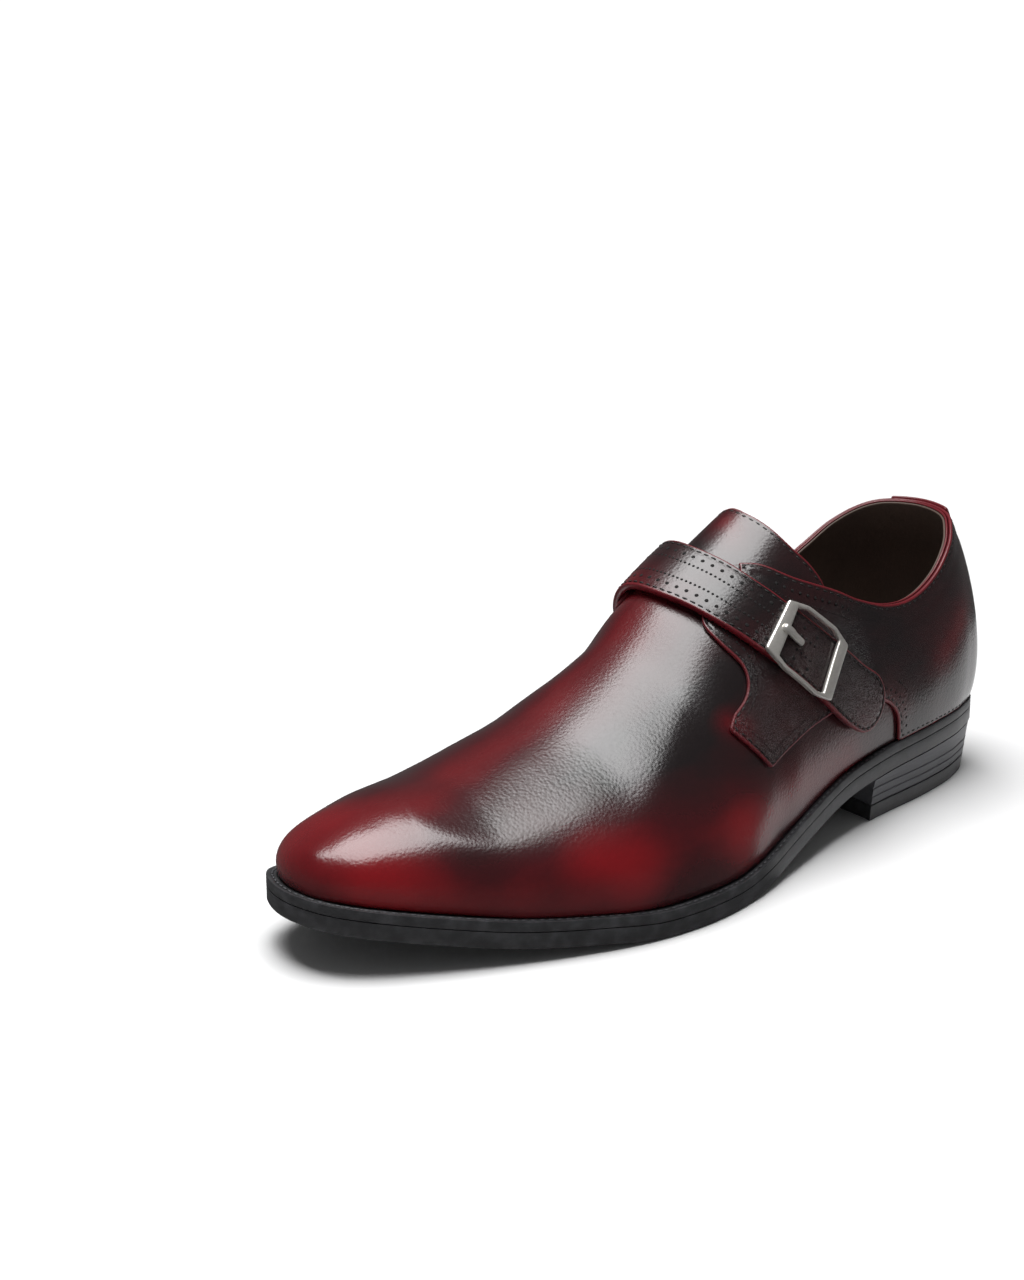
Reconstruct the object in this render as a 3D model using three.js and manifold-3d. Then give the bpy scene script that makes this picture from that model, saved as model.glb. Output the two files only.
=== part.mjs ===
// A monk strap shoe for the left foot, in millimetres, Z up.
// The origin is the middle of the heel's resting face. The toe points to -Y and the outer side to +X.
// "along" runs from the back of the heel to the toe, as a share of the sole's length.

import * as THREE from 'three';
import { mergeVertices } from 'three/addons/utils/BufferGeometryUtils.js';
import Module from 'manifold-3d';

const wasm = await Module();
wasm.setup();

// Driving dimensions: the sole
const soleLength = 305;
const ballWidth = 104;
const heelLength = 80;
const seatHeight = 19.1;
const toeSpring = 15.5;
const outsoleThickness = 5.6;
const weltThickness = 3.4;
const ledgeWidth = 3.8;
const edgeBevel = 0.9;
const topLiftThickness = 6;
const liftCount = 3;
const liftGroove = 0.4;
const heelTaper = 2.2;
const breastHollow = 3;
const insoleThickness = 5;

// Driving dimensions: the leather
const instepDepth = 87;
const sideBulge = 10;
const collarHeight = 69.5;
const upperWall = 1.8;
const quarterThickness = 1.2;
const tongueThickness = 1.8;
const backStripThickness = 1.1;
const backStripWidth = 24;
const backStripHeight = 36;

// Driving dimensions: the strap and its buckle
const strapThickness = 2.4;
const strapEndWidth = 26;
const strapWidth = 22.6;
const strapTipWidth = 21.4;
const buckleLength = 28;
const buckleWidth = 26.4;
const buckleBar = 3;
const buckleSide = 2.2;
const buckleThickness = 2;
const bucklePlace = 0.688;
const prongLength = 10;
const prongWidth = 2;

// Clearances between pieces that touch
const clearance = 0.3;
const strapClearance = 0.45;

// Fineness of the curved pieces
const stations = 37;
const rings = 13;

// The sole's outline, once round from the heel's back by the outer side, as shares of length and ball width
const outlineRows = [
  { along: 0, across: 0 },
  { along: 0.022, across: 0.2 },
  { along: 0.07, across: 0.275 },
  { along: 0.14, across: 0.32 },
  { along: 0.24, across: 0.35 },
  { along: 0.34, across: 0.393 },
  { along: 0.44, across: 0.464 },
  { along: 0.53, across: 0.534 },
  { along: 0.61, across: 0.562 },
  { along: 0.69, across: 0.536 },
  { along: 0.77, across: 0.459 },
  { along: 0.85, across: 0.351 },
  { along: 0.92, across: 0.236 },
  { along: 0.968, across: 0.134 },
  { along: 0.991, across: 0.048 },
  { along: 1, across: -0.07 },
  { along: 0.991, across: -0.19 },
  { along: 0.966, across: -0.3 },
  { along: 0.92, across: -0.356 },
  { along: 0.85, across: -0.408 },
  { along: 0.77, across: -0.44 },
  { along: 0.69, across: -0.448 },
  { along: 0.61, across: -0.425 },
  { along: 0.53, across: -0.365 },
  { along: 0.44, across: -0.3 },
  { along: 0.34, across: -0.276 },
  { along: 0.24, across: -0.296 },
  { along: 0.14, across: -0.316 },
  { along: 0.07, across: -0.275 },
  { along: 0.022, across: -0.19 },
];

// The sole's underside and the last above it, a row for each section.
// rear and front are shares of the seat height and the toe spring, ledge of the ledge width,
// ridge is where the section's cross curves meet along the sole, depth a share of the instep's depth,
// swing of the ball width. Each side has its bulge, its rise and its fullness towards the ridge.
const lastColumns = [
  'along', 'rear', 'front', 'ledge', 'ridge', 'depth', 'swing',
  'outBulge', 'outRise', 'outFull', 'inBulge', 'inRise', 'inFull',
];
const lastRows = [
  [0.0, 1.0, 0.0, 0.53, 0.165, 1.17, 0.0, 1.0, 0.16, 0.765, 1.0, 0.16, 0.765],
  [0.1, 0.974, 0.0, 0.53, 0.18, 1.18, 0.0, 0.8, 0.31, 0.8, 0.8, 0.33, 0.82],
  [0.2, 0.916, 0.0, 0.53, 0.22, 1.16, -0.02, 0.4, 0.435, 0.76, 0.5, 0.475, 0.74],
  [0.3, 0.79, 0.0, 0.55, 0.3, 1.12, -0.05, 0.3, 0.43, 0.65, 0.7, 0.53, 0.76],
  [0.4, 0.455, 0.0, 0.63, 0.395, 1.0, -0.09, 0.3, 0.42, 0.64, 0.9, 0.6, 0.84],
  [0.5, 0.105, 0.0, 0.74, 0.495, 0.87, -0.095, 0.5, 0.4, 0.61, 0.8, 0.54, 0.66],
  [0.56, 0.0, 0.0, 0.79, 0.555, 0.742, -0.085, 0.6, 0.43, 0.59, 0.5, 0.47, 0.5],
  [0.66, 0.0, 0.0, 0.87, 0.655, 0.58, -0.085, 0.6, 0.47, 0.6, 0.3, 0.485, 0.52],
  [0.74, 0.0, 0.148, 0.92, 0.73, 0.47, -0.095, 0.6, 0.49, 0.63, 0.4, 0.465, 0.58],
  [0.82, 0.0, 0.316, 0.95, 0.8, 0.385, -0.095, 0.5, 0.515, 0.66, 0.4, 0.485, 0.64],
  [0.9, 0.0, 0.6, 0.97, 0.86, 0.32, -0.085, 0.4, 0.51, 0.69, 0.4, 0.47, 0.69],
  [1.0, 0.0, 1.0, 1.0, 0.9, 0.225, -0.075, 0.3, 0.57, 0.72, 0.3, 0.52, 0.72],
];

// The topline seen from the side, from the heel's back to the lobe's front and over the instep.
// height is a share of the collar's height above the heel seat.
const toplineRows = [
  { along: -0.05, height: 1.02 },
  { along: 0.02, height: 1.01 },
  { along: 0.065, height: 0.985 },
  { along: 0.105, height: 0.885 },
  { along: 0.145, height: 0.775 },
  { along: 0.19, height: 0.7 },
  { along: 0.235, height: 0.7 },
  { along: 0.28, height: 0.762 },
  { along: 0.315, height: 0.835 },
  { along: 0.36, height: 0.915 },
  { along: 0.386, height: 0.978 },
  { along: 0.403, height: 0.988 },
  { along: 0.42, height: 0.99 },
  { along: 0.45, height: 1.06 },
  { along: 0.47, height: 1.4 },
];

// The quarter's front and lower edge seen from the side, from the lobe down to the sole at the heel
const quarterRows = [
  { along: 0.396, height: 1.3 },
  { along: 0.407, height: 0.985 },
  { along: 0.433, height: 0.92 },
  { along: 0.466, height: 0.83 },
  { along: 0.482, height: 0.765 },
  { along: 0.481, height: 0.69 },
  { along: 0.472, height: 0.6 },
  { along: 0.475, height: 0.53 },
  { along: 0.488, height: 0.47 },
  { along: 0.51, height: 0.42 },
];
const quarterFoot = [
  { along: 0.524, height: 0.365 },
  { along: 0.482, height: 0.16 },
];
const quarterWaistRows = [
  { along: 0.482, height: 0.16 },
  { along: 0.444, height: 0.205 },
  { along: 0.41, height: 0.242 },
  { along: 0.37, height: 0.268 },
  { along: 0.33, height: 0.278 },
  { along: 0.285, height: 0.262 },
  { along: 0.25, height: 0.225 },
  { along: 0.228, height: 0.16 },
  { along: 0.218, height: 0.07 },
  { along: 0.213, height: -0.15 },
];

// The tongue's back and lower edge seen from the side
const tongueRows = [
  { along: 0.38, height: 1.45 },
  { along: 0.352, height: 1.16 },
  { along: 0.342, height: 1.06 },
  { along: 0.327, height: 0.96 },
  { along: 0.318, height: 0.85 },
  { along: 0.325, height: 0.74 },
  { along: 0.37, height: 0.66 },
  { along: 0.44, height: 0.66 },
  { along: 0.5, height: 0.7 },
  { along: 0.53, height: 1.0 },
  { along: 0.54, height: 1.45 },
];

// The strap's middle line over the instep. station follows the last from heel to toe,
// and side runs from -1 at the inner welt by 0 on the ridge to 1 at the outer welt.
const strapRoute = [
  { station: 0.43, side: -0.67 },
  { station: 0.45, side: -0.53 },
  { station: 0.468, side: -0.29 },
  { station: 0.478, side: 0 },
  { station: 0.47, side: 0.22 },
  { station: 0.455, side: 0.385 },
  { station: 0.435, side: 0.525 },
  { station: 0.41, side: 0.66 },
  { station: 0.38, side: 0.785 },
  { station: 0.345, side: 0.87 },
];

// Heights and places that follow from the sizes
const heelCentre = heelLength / 2;
const shellGap = clearance + outsoleThickness;
const weltTop = shellGap + weltThickness;
const quarterOffset = clearance + quarterThickness;
const strapOffset = quarterOffset + strapClearance;
const buckleOffset = strapOffset + strapThickness + clearance;

// A curve through the points that never swings past them, as a function of the first list
function monotone(xs, ys) {
  const last = xs.length - 1;
  const steps = xs.slice(1).map((x, i) => x - xs[i]);
  const slopes = steps.map((step, i) => (ys[i + 1] - ys[i]) / step);
  const tangents = xs.map((x, i) => {
    if (i === 0) return slopes[0];
    if (i === last) return slopes[last - 1];
    if (slopes[i - 1] * slopes[i] <= 0) return 0;
    const before = 2 * steps[i] + steps[i - 1];
    const after = steps[i] + 2 * steps[i - 1];
    return (before + after) / (before / slopes[i - 1] + after / slopes[i]);
  });
  return (x) => {
    const at = THREE.MathUtils.clamp(x, xs[0], xs[last]);
    let i = 0;
    while (i < last - 1 && at > xs[i + 1]) i += 1;
    const t = (at - xs[i]) / steps[i];
    const square = t * t;
    const cube = square * t;
    return (2 * cube - 3 * square + 1) * ys[i] + (cube - 2 * square + t) * tangents[i] * steps[i]
      + (3 * square - 2 * cube) * ys[i + 1] + (cube - square) * tangents[i + 1] * steps[i];
  };
}

function column(name) {
  const index = lastColumns.indexOf(name);
  return monotone(lastRows.map((row) => row[0]), lastRows.map((row) => row[index]));
}

const last = Object.fromEntries(lastColumns.map((name) => [name, column(name)]));

// Height of the outsole's underside above the floor
function underside(along) {
  return seatHeight * last.rear(along) + toeSpring * last.front(along);
}

// Height at which the leather stands on the welt
function featherHeight(along) {
  return underside(along) + weltTop + clearance;
}

// The sole's outline as two lists of points, outer and inner side, moved in by a width that may change
function sideLists(inset) {
  const points = outlineRows.map((row) => (
    new THREE.Vector3(row.across * ballWidth, row.along * soleLength, 0)
  ));
  const curve = new THREE.CatmullRomCurve3(points, true, 'centripetal');
  const count = 720;
  const placed = [];
  for (let i = 0; i < count; i += 1) {
    const point = curve.getPoint(i / count);
    const tangent = curve.getTangent(i / count);
    const normal = new THREE.Vector2(tangent.y, -tangent.x).normalize();
    const width = inset(point.y / soleLength);
    placed.push({ x: point.x - normal.x * width, s: point.y - normal.y * width, normal });
  }
  const heelIndex = placed.reduce((best, p, i) => (p.s < placed[best].s ? i : best), 0);
  const round = placed.slice(heelIndex).concat(placed.slice(0, heelIndex + 1));
  const toeIndex = round.reduce((best, p, i) => (p.s > round[best].s ? i : best), 0);
  return { outer: round.slice(0, toeIndex + 1), inner: round.slice(toeIndex).reverse() };
}

// The point of one side list at a length from the heel
function pointAt(list, s) {
  let low = 0;
  let high = list.length - 1;
  while (high - low > 1) {
    const middle = (low + high) >> 1;
    if (list[middle].s <= s) low = middle;
    else high = middle;
  }
  const span = Math.max(list[high].s - list[low].s, 1e-9);
  const t = THREE.MathUtils.clamp((s - list[low].s) / span, 0, 1);
  const normal = list[low].normal.clone().lerp(list[high].normal, t).normalize();
  return { x: THREE.MathUtils.lerp(list[low].x, list[high].x, t), s, normal };
}

// An outline that is read by station, 0 at the heel's back and 1 at the toe, and by side
function outline(inset) {
  const lists = sideLists(inset);
  const start = lists.outer[0].s;
  const end = lists.outer[lists.outer.length - 1].s;
  return (station, side) => {
    const s = start + (end - start) * (1 - Math.cos(Math.PI * station)) / 2;
    return pointAt(side > 0 ? lists.outer : lists.inner, s);
  };
}

// Once round from the heel's back by the outer side: station and side of each point
function roundTrip() {
  const trip = [];
  for (let i = 0; i < stations; i += 1) trip.push({ station: i / (stations - 1), side: 1 });
  for (let i = stations - 2; i > 0; i -= 1) trip.push({ station: i / (stations - 1), side: -1 });
  return trip;
}

const trip = roundTrip();
const feather = outline((along) => ledgeWidth * last.ledge(along));

function toPoint(x, s, z) {
  return new THREE.Vector3(x, heelCentre - s, z);
}

// The last's surface. reach is 0 at the welt and 1 on the ridge.
function lastPoint(station, side, reach) {
  const foot = feather(station, side);
  const along = foot.s / soleLength;
  const footHeight = featherHeight(along);
  const depth = instepDepth * last.depth(along);
  const ridgeX = last.swing(along) * ballWidth;
  const ridgeS = last.ridge(along) * soleLength;
  const ridgeZ = underside(along) + weltTop + depth;
  const dx = foot.x - ridgeX;
  const ds = foot.s - ridgeS;
  const distance = Math.hypot(dx, ds);
  const outerShare = THREE.MathUtils.smoothstep(0.5 + 0.62 * foot.normal.x, 0, 1);
  const blend = (name) => (
    THREE.MathUtils.lerp(last[`in${name}`](along), last[`out${name}`](along), outerShare)
  );
  const bulge = blend('Bulge') * sideBulge / distance;
  const rise = blend('Rise') * depth;
  const full = blend('Full');
  const slope = ridgeSlope(along);
  const a = (1 - reach) ** 3;
  const b = 3 * (1 - reach) ** 2 * reach;
  const c = 3 * (1 - reach) * reach ** 2;
  const d = reach ** 3;
  const horizontal = a + b * (1 + bulge) + c * full;
  const shoulder = ridgeZ + slope * ds * full;
  const height = a * footHeight + b * (footHeight + rise) + c * shoulder + d * ridgeZ;
  return toPoint(ridgeX + dx * horizontal, ridgeS + ds * horizontal, height);
}

// Slope of the ridge line towards the toe
function ridgeSlope(along) {
  const step = 0.001;
  const height = (at) => underside(at) + instepDepth * last.depth(at);
  const run = (last.ridge(along + step) - last.ridge(along - step)) * soleLength;
  return THREE.MathUtils.clamp((height(along + step) - height(along - step)) / (run + 1e-9), -1.2, 0.2);
}

// The last's surface by station and one coordinate across: -1 inner welt, 0 ridge, 1 outer welt
function acrossPoint(station, across) {
  return lastPoint(station, across < 0 ? -1 : 1, 1 - Math.abs(across));
}

// Directions along and across the surface, and its outward normal
function surfaceFrame(station, across) {
  const step = 0.002;
  const after = acrossPoint(station + step, across);
  const along = after.sub(acrossPoint(station - step, across)).divideScalar(2 * step);
  const low = THREE.MathUtils.clamp(across - step, -1, 1);
  const high = THREE.MathUtils.clamp(across + step, -1, 1);
  const outward = acrossPoint(station, high).sub(acrossPoint(station, low)).divideScalar(high - low);
  const normal = new THREE.Vector3().crossVectors(along, outward).normalize();
  return { along, outward, normal };
}

// A point held off the last by an offset. The foot of the wall moves level, so that it stays on the welt.
function offsetPoint(station, side, reach, offset) {
  if (reach === 0) {
    const foot = feather(station, side);
    const edge = foot.normal.clone().multiplyScalar(offset);
    return toPoint(foot.x + edge.x, foot.s + edge.y, featherHeight(foot.s / soleLength));
  }
  return lastPoint(station, side, reach).addScaledVector(wallNormal(station, side, reach), offset);
}

// The outward normal, with a station past either end wrapped round to the other side
function wallNormal(station, side, reach) {
  const step = 0.002;
  const wrapped = (at) => {
    if (at < 0) return lastPoint(-at, -side, reach);
    if (at > 1) return lastPoint(2 - at, -side, reach);
    return lastPoint(at, side, reach);
  };
  const round = wrapped(station + step).sub(wrapped(station - step)).multiplyScalar(side);
  if (reach === 1) {
    const front = lastPoint(Math.min(station + step, 1), 1, 1);
    const ridge = front.sub(lastPoint(Math.max(station - step, 0), 1, 1));
    return new THREE.Vector3(0, ridge.z, -ridge.y).normalize();
  }
  const above = lastPoint(station, side, Math.min(reach + step, 1));
  const up = above.sub(lastPoint(station, side, reach - step));
  return new THREE.Vector3().crossVectors(up, round).normalize();
}

// Closed meshes are kept as points and triangles, and become solids for joining and cutting
function solid(points, faces) {
  const vertProperties = new Float32Array(points.flatMap((p) => [p.x, p.y, p.z]));
  const triVerts = new Uint32Array(faces.flat());
  const mesh = new wasm.Mesh({ numProp: 3, vertProperties, triVerts });
  mesh.merge();
  return new wasm.Manifold(mesh);
}

function solidFromGeometry(geometry) {
  geometry.deleteAttribute('normal');
  geometry.deleteAttribute('uv');
  const merged = mergeVertices(geometry, 1e-4);
  const vertProperties = new Float32Array(merged.attributes.position.array);
  const triVerts = new Uint32Array(merged.index.array);
  return new wasm.Manifold(new wasm.Mesh({ numProp: 3, vertProperties, triVerts }));
}

function geometryFromSolid(shape) {
  const mesh = shape.getMesh();
  const geometry = new THREE.BufferGeometry();
  geometry.setAttribute('position', new THREE.BufferAttribute(mesh.vertProperties.slice(), 3));
  geometry.setIndex(new THREE.BufferAttribute(mesh.triVerts.slice(), 1));
  return geometry;
}

// Walls between rings of equal length, each given from low to high and seen from outside
function wallFaces(ringCount, size, closed) {
  const faces = [];
  const last = closed ? ringCount : ringCount - 1;
  for (let i = 0; i < last; i += 1) {
    for (let j = 0; j < size; j += 1) {
      const next = (j + 1) % size;
      const low = i * size;
      const high = ((i + 1) % ringCount) * size;
      faces.push([low + j, high + j, high + next], [low + j, high + next, low + next]);
    }
  }
  return faces;
}

// A cap that joins each outer point of a ring to the inner point opposite
function capFaces(base, upwards) {
  const size = trip.length;
  const faces = [];
  const add = (a, b, c) => {
    faces.push(upwards ? [base + a, base + c, base + b] : [base + a, base + b, base + c]);
  };
  for (let i = 0; i < stations - 1; i += 1) {
    const inner = (size - i) % size;
    const nextInner = size - i - 1;
    if (i < stations - 2) add(i, i + 1, nextInner);
    else add(i, i + 1, inner);
    if (i > 0 && i < stations - 2) add(i, nextInner, inner);
  }
  return faces;
}

// A whole last-like body at an offset. Its foot may be lowered to cut right through a wall's foot.
function lastBody(offset, lowered) {
  const points = [];
  if (lowered > 0) {
    trip.forEach(({ station, side }) => {
      const foot = offsetPoint(station, side, 0, offset);
      foot.z -= lowered;
      points.push(foot);
    });
  }
  for (let i = 0; i < rings; i += 1) {
    trip.forEach(({ station, side }) => points.push(offsetPoint(station, side, i / rings, offset)));
  }
  const size = trip.length;
  const ringCount = points.length / size;
  const ridgeStart = points.length;
  for (let i = 0; i < stations; i += 1) points.push(offsetPoint(i / (stations - 1), 1, 1, offset));
  const faces = wallFaces(ringCount, size, false).concat(capFaces(0, false));
  const base = (ringCount - 1) * size;
  const ridgeOf = (j) => ridgeStart + (j < stations ? j : size - j);
  for (let j = 0; j < size; j += 1) {
    const next = (j + 1) % size;
    faces.push([base + j, ridgeOf(j), base + next]);
    if (ridgeOf(j) !== ridgeOf(next)) faces.push([base + next, ridgeOf(j), ridgeOf(next)]);
  }
  return solid(points, faces);
}

// A body between rings of the sole's outline, each with its inset and its height along the sole
function soleBody(levels) {
  const points = [];
  levels.forEach(({ inset, height }) => {
    const edge = outline(inset);
    trip.forEach(({ station, side }) => {
      const at = edge(station, side);
      points.push(toPoint(at.x, at.s, height(at.s / soleLength)));
    });
  });
  const size = trip.length;
  const faces = wallFaces(levels.length, size, false)
    .concat(capFaces(0, false))
    .concat(capFaces((levels.length - 1) * size, true));
  return solid(points, faces);
}

// A bar across the whole shoe with the given side view
function sideBar(shapePoints) {
  const depth = 2 * ballWidth;
  const shape = new THREE.Shape(shapePoints);
  const geometry = new THREE.ExtrudeGeometry(shape, { depth, bevelEnabled: false, steps: 1 });
  geometry.translate(0, 0, -depth / 2);
  geometry.applyMatrix4(new THREE.Matrix4().makeBasis(
    new THREE.Vector3(0, 1, 0), new THREE.Vector3(0, 0, 1), new THREE.Vector3(1, 0, 0),
  ));
  return solidFromGeometry(geometry);
}

// Side view points of a table, smoothed through its rows
function sideCurve(rows, count) {
  const seat = featherHeight(0);
  const points = rows.map((row) => new THREE.Vector2(
    heelCentre - row.along * soleLength, seat + row.height * collarHeight,
  ));
  return count > 0 ? new THREE.SplineCurve(points).getPoints(count) : points;
}

// What lies above the topline, and behind the vamp's edge under the strap
function collarCut() {
  const line = sideCurve(toplineRows, 48);
  const top = featherHeight(0) + 2 * collarHeight;
  const front = line[line.length - 1].x;
  return sideBar([...line, new THREE.Vector2(front, top), new THREE.Vector2(line[0].x, top)]);
}

// What the quarter covers, seen from the side
function quarterArea() {
  const front = sideCurve(quarterRows, 30);
  const waist = sideCurve(quarterWaistRows, 24);
  const edge = [...front, ...sideCurve(quarterFoot, 0), ...waist.slice(1)];
  const back = heelCentre + 0.1 * soleLength;
  const floor = edge[edge.length - 1].y;
  return sideBar([...edge, new THREE.Vector2(back, floor), new THREE.Vector2(back, edge[0].y)]);
}

function tongueArea() {
  return sideBar(sideCurve(tongueRows, 40));
}

function outsoleSolid() {
  const flush = () => 0;
  const bevel = () => edgeBevel;
  return soleBody([
    { inset: bevel, height: underside },
    { inset: flush, height: (along) => underside(along) + edgeBevel },
    { inset: flush, height: (along) => underside(along) + outsoleThickness - edgeBevel / 2 },
    { inset: () => edgeBevel / 2, height: (along) => underside(along) + outsoleThickness },
  ]);
}

// The welt is a flat ring that the leather stands on
function weltSolid() {
  const low = (along) => underside(along) + shellGap;
  const high = (along) => low(along) + weltThickness;
  const inner = (along) => ledgeWidth * last.ledge(along) + upperWall;
  const body = soleBody([
    { inset: () => edgeBevel / 2, height: low },
    { inset: () => 0, height: (along) => low(along) + edgeBevel / 2 },
    { inset: () => 0, height: (along) => high(along) - edgeBevel / 2 },
    { inset: () => edgeBevel / 2, height: high },
  ]);
  const hole = soleBody([
    { inset: inner, height: (along) => low(along) - 1 },
    { inset: inner, height: (along) => high(along) + 1 },
  ]);
  return body.subtract(hole);
}

function insoleSolid() {
  const edge = (along) => ledgeWidth * last.ledge(along) + upperWall + clearance;
  const low = (along) => underside(along) + shellGap;
  return soleBody([
    { inset: edge, height: low },
    { inset: edge, height: (along) => low(along) + insoleThickness - edgeBevel },
    { inset: (along) => edge(along) + edgeBevel, height: (along) => low(along) + insoleThickness },
  ]);
}

// A ring of the heel: the sole's outline behind the breast, closed by a straight line
function heelRing(inset, height) {
  const lists = sideLists(() => inset);
  const count = 19;
  const start = lists.outer[0].s;
  const ring = [];
  const place = (list, i) => {
    const s = start + (heelLength - start) * (1 - Math.cos(Math.PI / 2 * (i / (count - 1))));
    const at = pointAt(list, s);
    return toPoint(at.x, at.s, height(at.s / soleLength));
  };
  for (let i = 0; i < count; i += 1) ring.push(place(lists.outer, i));
  for (let i = count - 1; i > 0; i -= 1) ring.push(place(lists.inner, i));
  return ring;
}

function heelBody(levels) {
  const ringList = levels.map(({ inset, height }) => heelRing(inset, height));
  const size = ringList[0].length;
  const half = (size + 1) / 2;
  const faces = wallFaces(ringList.length, size, false);
  const cap = (base, upwards) => {
    for (let i = 0; i < half - 1; i += 1) {
      const inner = (size - i) % size;
      const nextInner = size - i - 1;
      const turned = (a, b, c) => [base + a, base + (upwards ? c : b), base + (upwards ? b : c)];
      faces.push(turned(i, i + 1, nextInner));
      if (i > 0) faces.push(turned(i, nextInner, inner));
    }
  };
  cap(0, false);
  cap((ringList.length - 1) * size, true);
  return solid(ringList.flat(), faces).subtract(breastCut());
}

// The heel's front is hollowed by an upright cylinder
function breastCut() {
  const halfWidth = ballWidth * 0.35;
  const radius = (halfWidth ** 2 + breastHollow ** 2) / (2 * breastHollow);
  const geometry = new THREE.CylinderGeometry(radius, radius, 4 * seatHeight, 160);
  geometry.rotateX(Math.PI / 2);
  geometry.translate(0, heelCentre - heelLength + breastHollow - radius, 0);
  return solidFromGeometry(geometry);
}

function heelInset(height) {
  return heelTaper * (1 - height / seatHeight) + edgeBevel / 2;
}

function heelSolid() {
  const low = topLiftThickness + clearance;
  const step = (underside(heelLength / soleLength) - clearance - low) / liftCount;
  const levels = [{ inset: heelInset(low), height: () => low }];
  for (let i = 1; i < liftCount; i += 1) {
    const line = low + i * step;
    levels.push({ inset: heelInset(line), height: () => line - liftGroove });
    levels.push({ inset: heelInset(line) + liftGroove, height: () => line });
    levels.push({ inset: heelInset(line), height: () => line + liftGroove });
  }
  levels.push({ inset: heelInset(seatHeight), height: (along) => underside(along) - clearance });
  return heelBody(levels);
}

function topLiftSolid() {
  return heelBody([
    { inset: heelInset(0) + edgeBevel / 2, height: () => 0 },
    { inset: heelInset(0), height: () => edgeBevel / 2 },
    { inset: heelInset(topLiftThickness), height: () => topLiftThickness },
  ]);
}

function upperSolid() {
  return lastBody(0, 0).subtract(lastBody(-upperWall, 2)).subtract(collarCut());
}

function quarterSolid() {
  const skin = lastBody(quarterOffset, 0).subtract(lastBody(clearance, 2));
  return skin.intersect(quarterArea()).subtract(collarCut());
}

function tongueSolid() {
  const top = -upperWall - clearance;
  return lastBody(top, 0).subtract(lastBody(top - tongueThickness, 0)).intersect(tongueArea());
}

// The back strip covers the seam at the heel, below the topline
function backStripSolid() {
  const low = quarterOffset + clearance;
  const skin = lastBody(low + backStripThickness, 0).subtract(lastBody(low, 2));
  const top = featherHeight(0) + collarHeight * 1.2;
  const bottom = featherHeight(0) + collarHeight - backStripHeight;
  const half = backStripWidth / 2;
  const shape = new THREE.Shape();
  shape.moveTo(-half, top);
  shape.lineTo(-half, bottom + half);
  shape.absarc(0, bottom + half, half, Math.PI, 2 * Math.PI, false);
  shape.lineTo(half, top);
  const settings = { depth: heelLength, bevelEnabled: false, curveSegments: 10 };
  const geometry = new THREE.ExtrudeGeometry(shape, settings);
  geometry.applyMatrix4(new THREE.Matrix4().makeBasis(
    new THREE.Vector3(-1, 0, 0), new THREE.Vector3(0, 0, 1), new THREE.Vector3(0, 1, 0),
  ));
  return skin.intersect(solidFromGeometry(geometry)).subtract(collarCut());
}

// Walks over the surface from a place by a distance, straight on in a given direction
function walk(place, direction, distance) {
  const count = 6;
  const step = distance / count;
  const at = { ...place };
  for (let i = 0; i < count; i += 1) {
    const frame = surfaceFrame(at.station, at.across);
    const flat = direction.clone().projectOnPlane(frame.normal).setLength(step);
    const aa = frame.along.dot(frame.along);
    const ab = frame.along.dot(frame.outward);
    const bb = frame.outward.dot(frame.outward);
    const ra = frame.along.dot(flat);
    const rb = frame.outward.dot(flat);
    const det = aa * bb - ab * ab;
    at.station += (ra * bb - rb * ab) / det;
    at.across += (rb * aa - ra * ab) / det;
  }
  return at;
}

// The strap's middle line, evenly spaced by length
const strapLine = (() => {
  const route = new THREE.SplineCurve(strapRoute.map((row) => new THREE.Vector2(row.station, row.side)));
  const fine = route.getPoints(200).map(({ x, y }) => (
    { station: x, across: y, point: acrossPoint(x, y) }
  ));
  const lengths = [0];
  for (let i = 1; i < fine.length; i += 1) {
    lengths.push(lengths[i - 1] + fine[i].point.distanceTo(fine[i - 1].point));
  }
  const length = lengths[lengths.length - 1];
  const at = (distance) => {
    const aim = THREE.MathUtils.clamp(distance, 0, length);
    let i = 0;
    while (i < lengths.length - 2 && lengths[i + 1] < aim) i += 1;
    const t = (aim - lengths[i]) / (lengths[i + 1] - lengths[i]);
    return {
      station: THREE.MathUtils.lerp(fine[i].station, fine[i + 1].station, t),
      across: THREE.MathUtils.lerp(fine[i].across, fine[i + 1].across, t),
    };
  };
  return { length, at };
})();

// A point by its distance along the strap, its distance across it and its lift off the last
function onStrap(distance, sideways, lift) {
  const before = strapLine.at(distance - 1);
  const after = strapLine.at(distance + 1);
  const ahead = acrossPoint(after.station, after.across);
  const direction = ahead.sub(acrossPoint(before.station, before.across));
  const middle = strapLine.at(distance);
  const { normal } = surfaceFrame(middle.station, middle.across);
  const cross = new THREE.Vector3().crossVectors(normal, direction).normalize();
  const place = walk(middle, cross, sideways);
  const frame = surfaceFrame(place.station, place.across);
  return acrossPoint(place.station, place.across).addScaledVector(frame.normal, lift);
}

// Half the strap's width at a distance along it, with a square inner end and a round tip
function strapHalf(distance) {
  const share = distance / strapLine.length;
  const widths = [strapEndWidth, strapWidth, strapTipWidth, strapTipWidth];
  const width = monotone([0, 0.35, 0.65, 1], widths)(share);
  const radius = strapTipWidth / 2;
  const left = strapLine.length - distance;
  const round = left < radius ? Math.sqrt(Math.max(radius ** 2 - (radius - left) ** 2, 0)) : radius;
  return width / 2 * Math.max(round / radius, 0.12);
}

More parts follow.
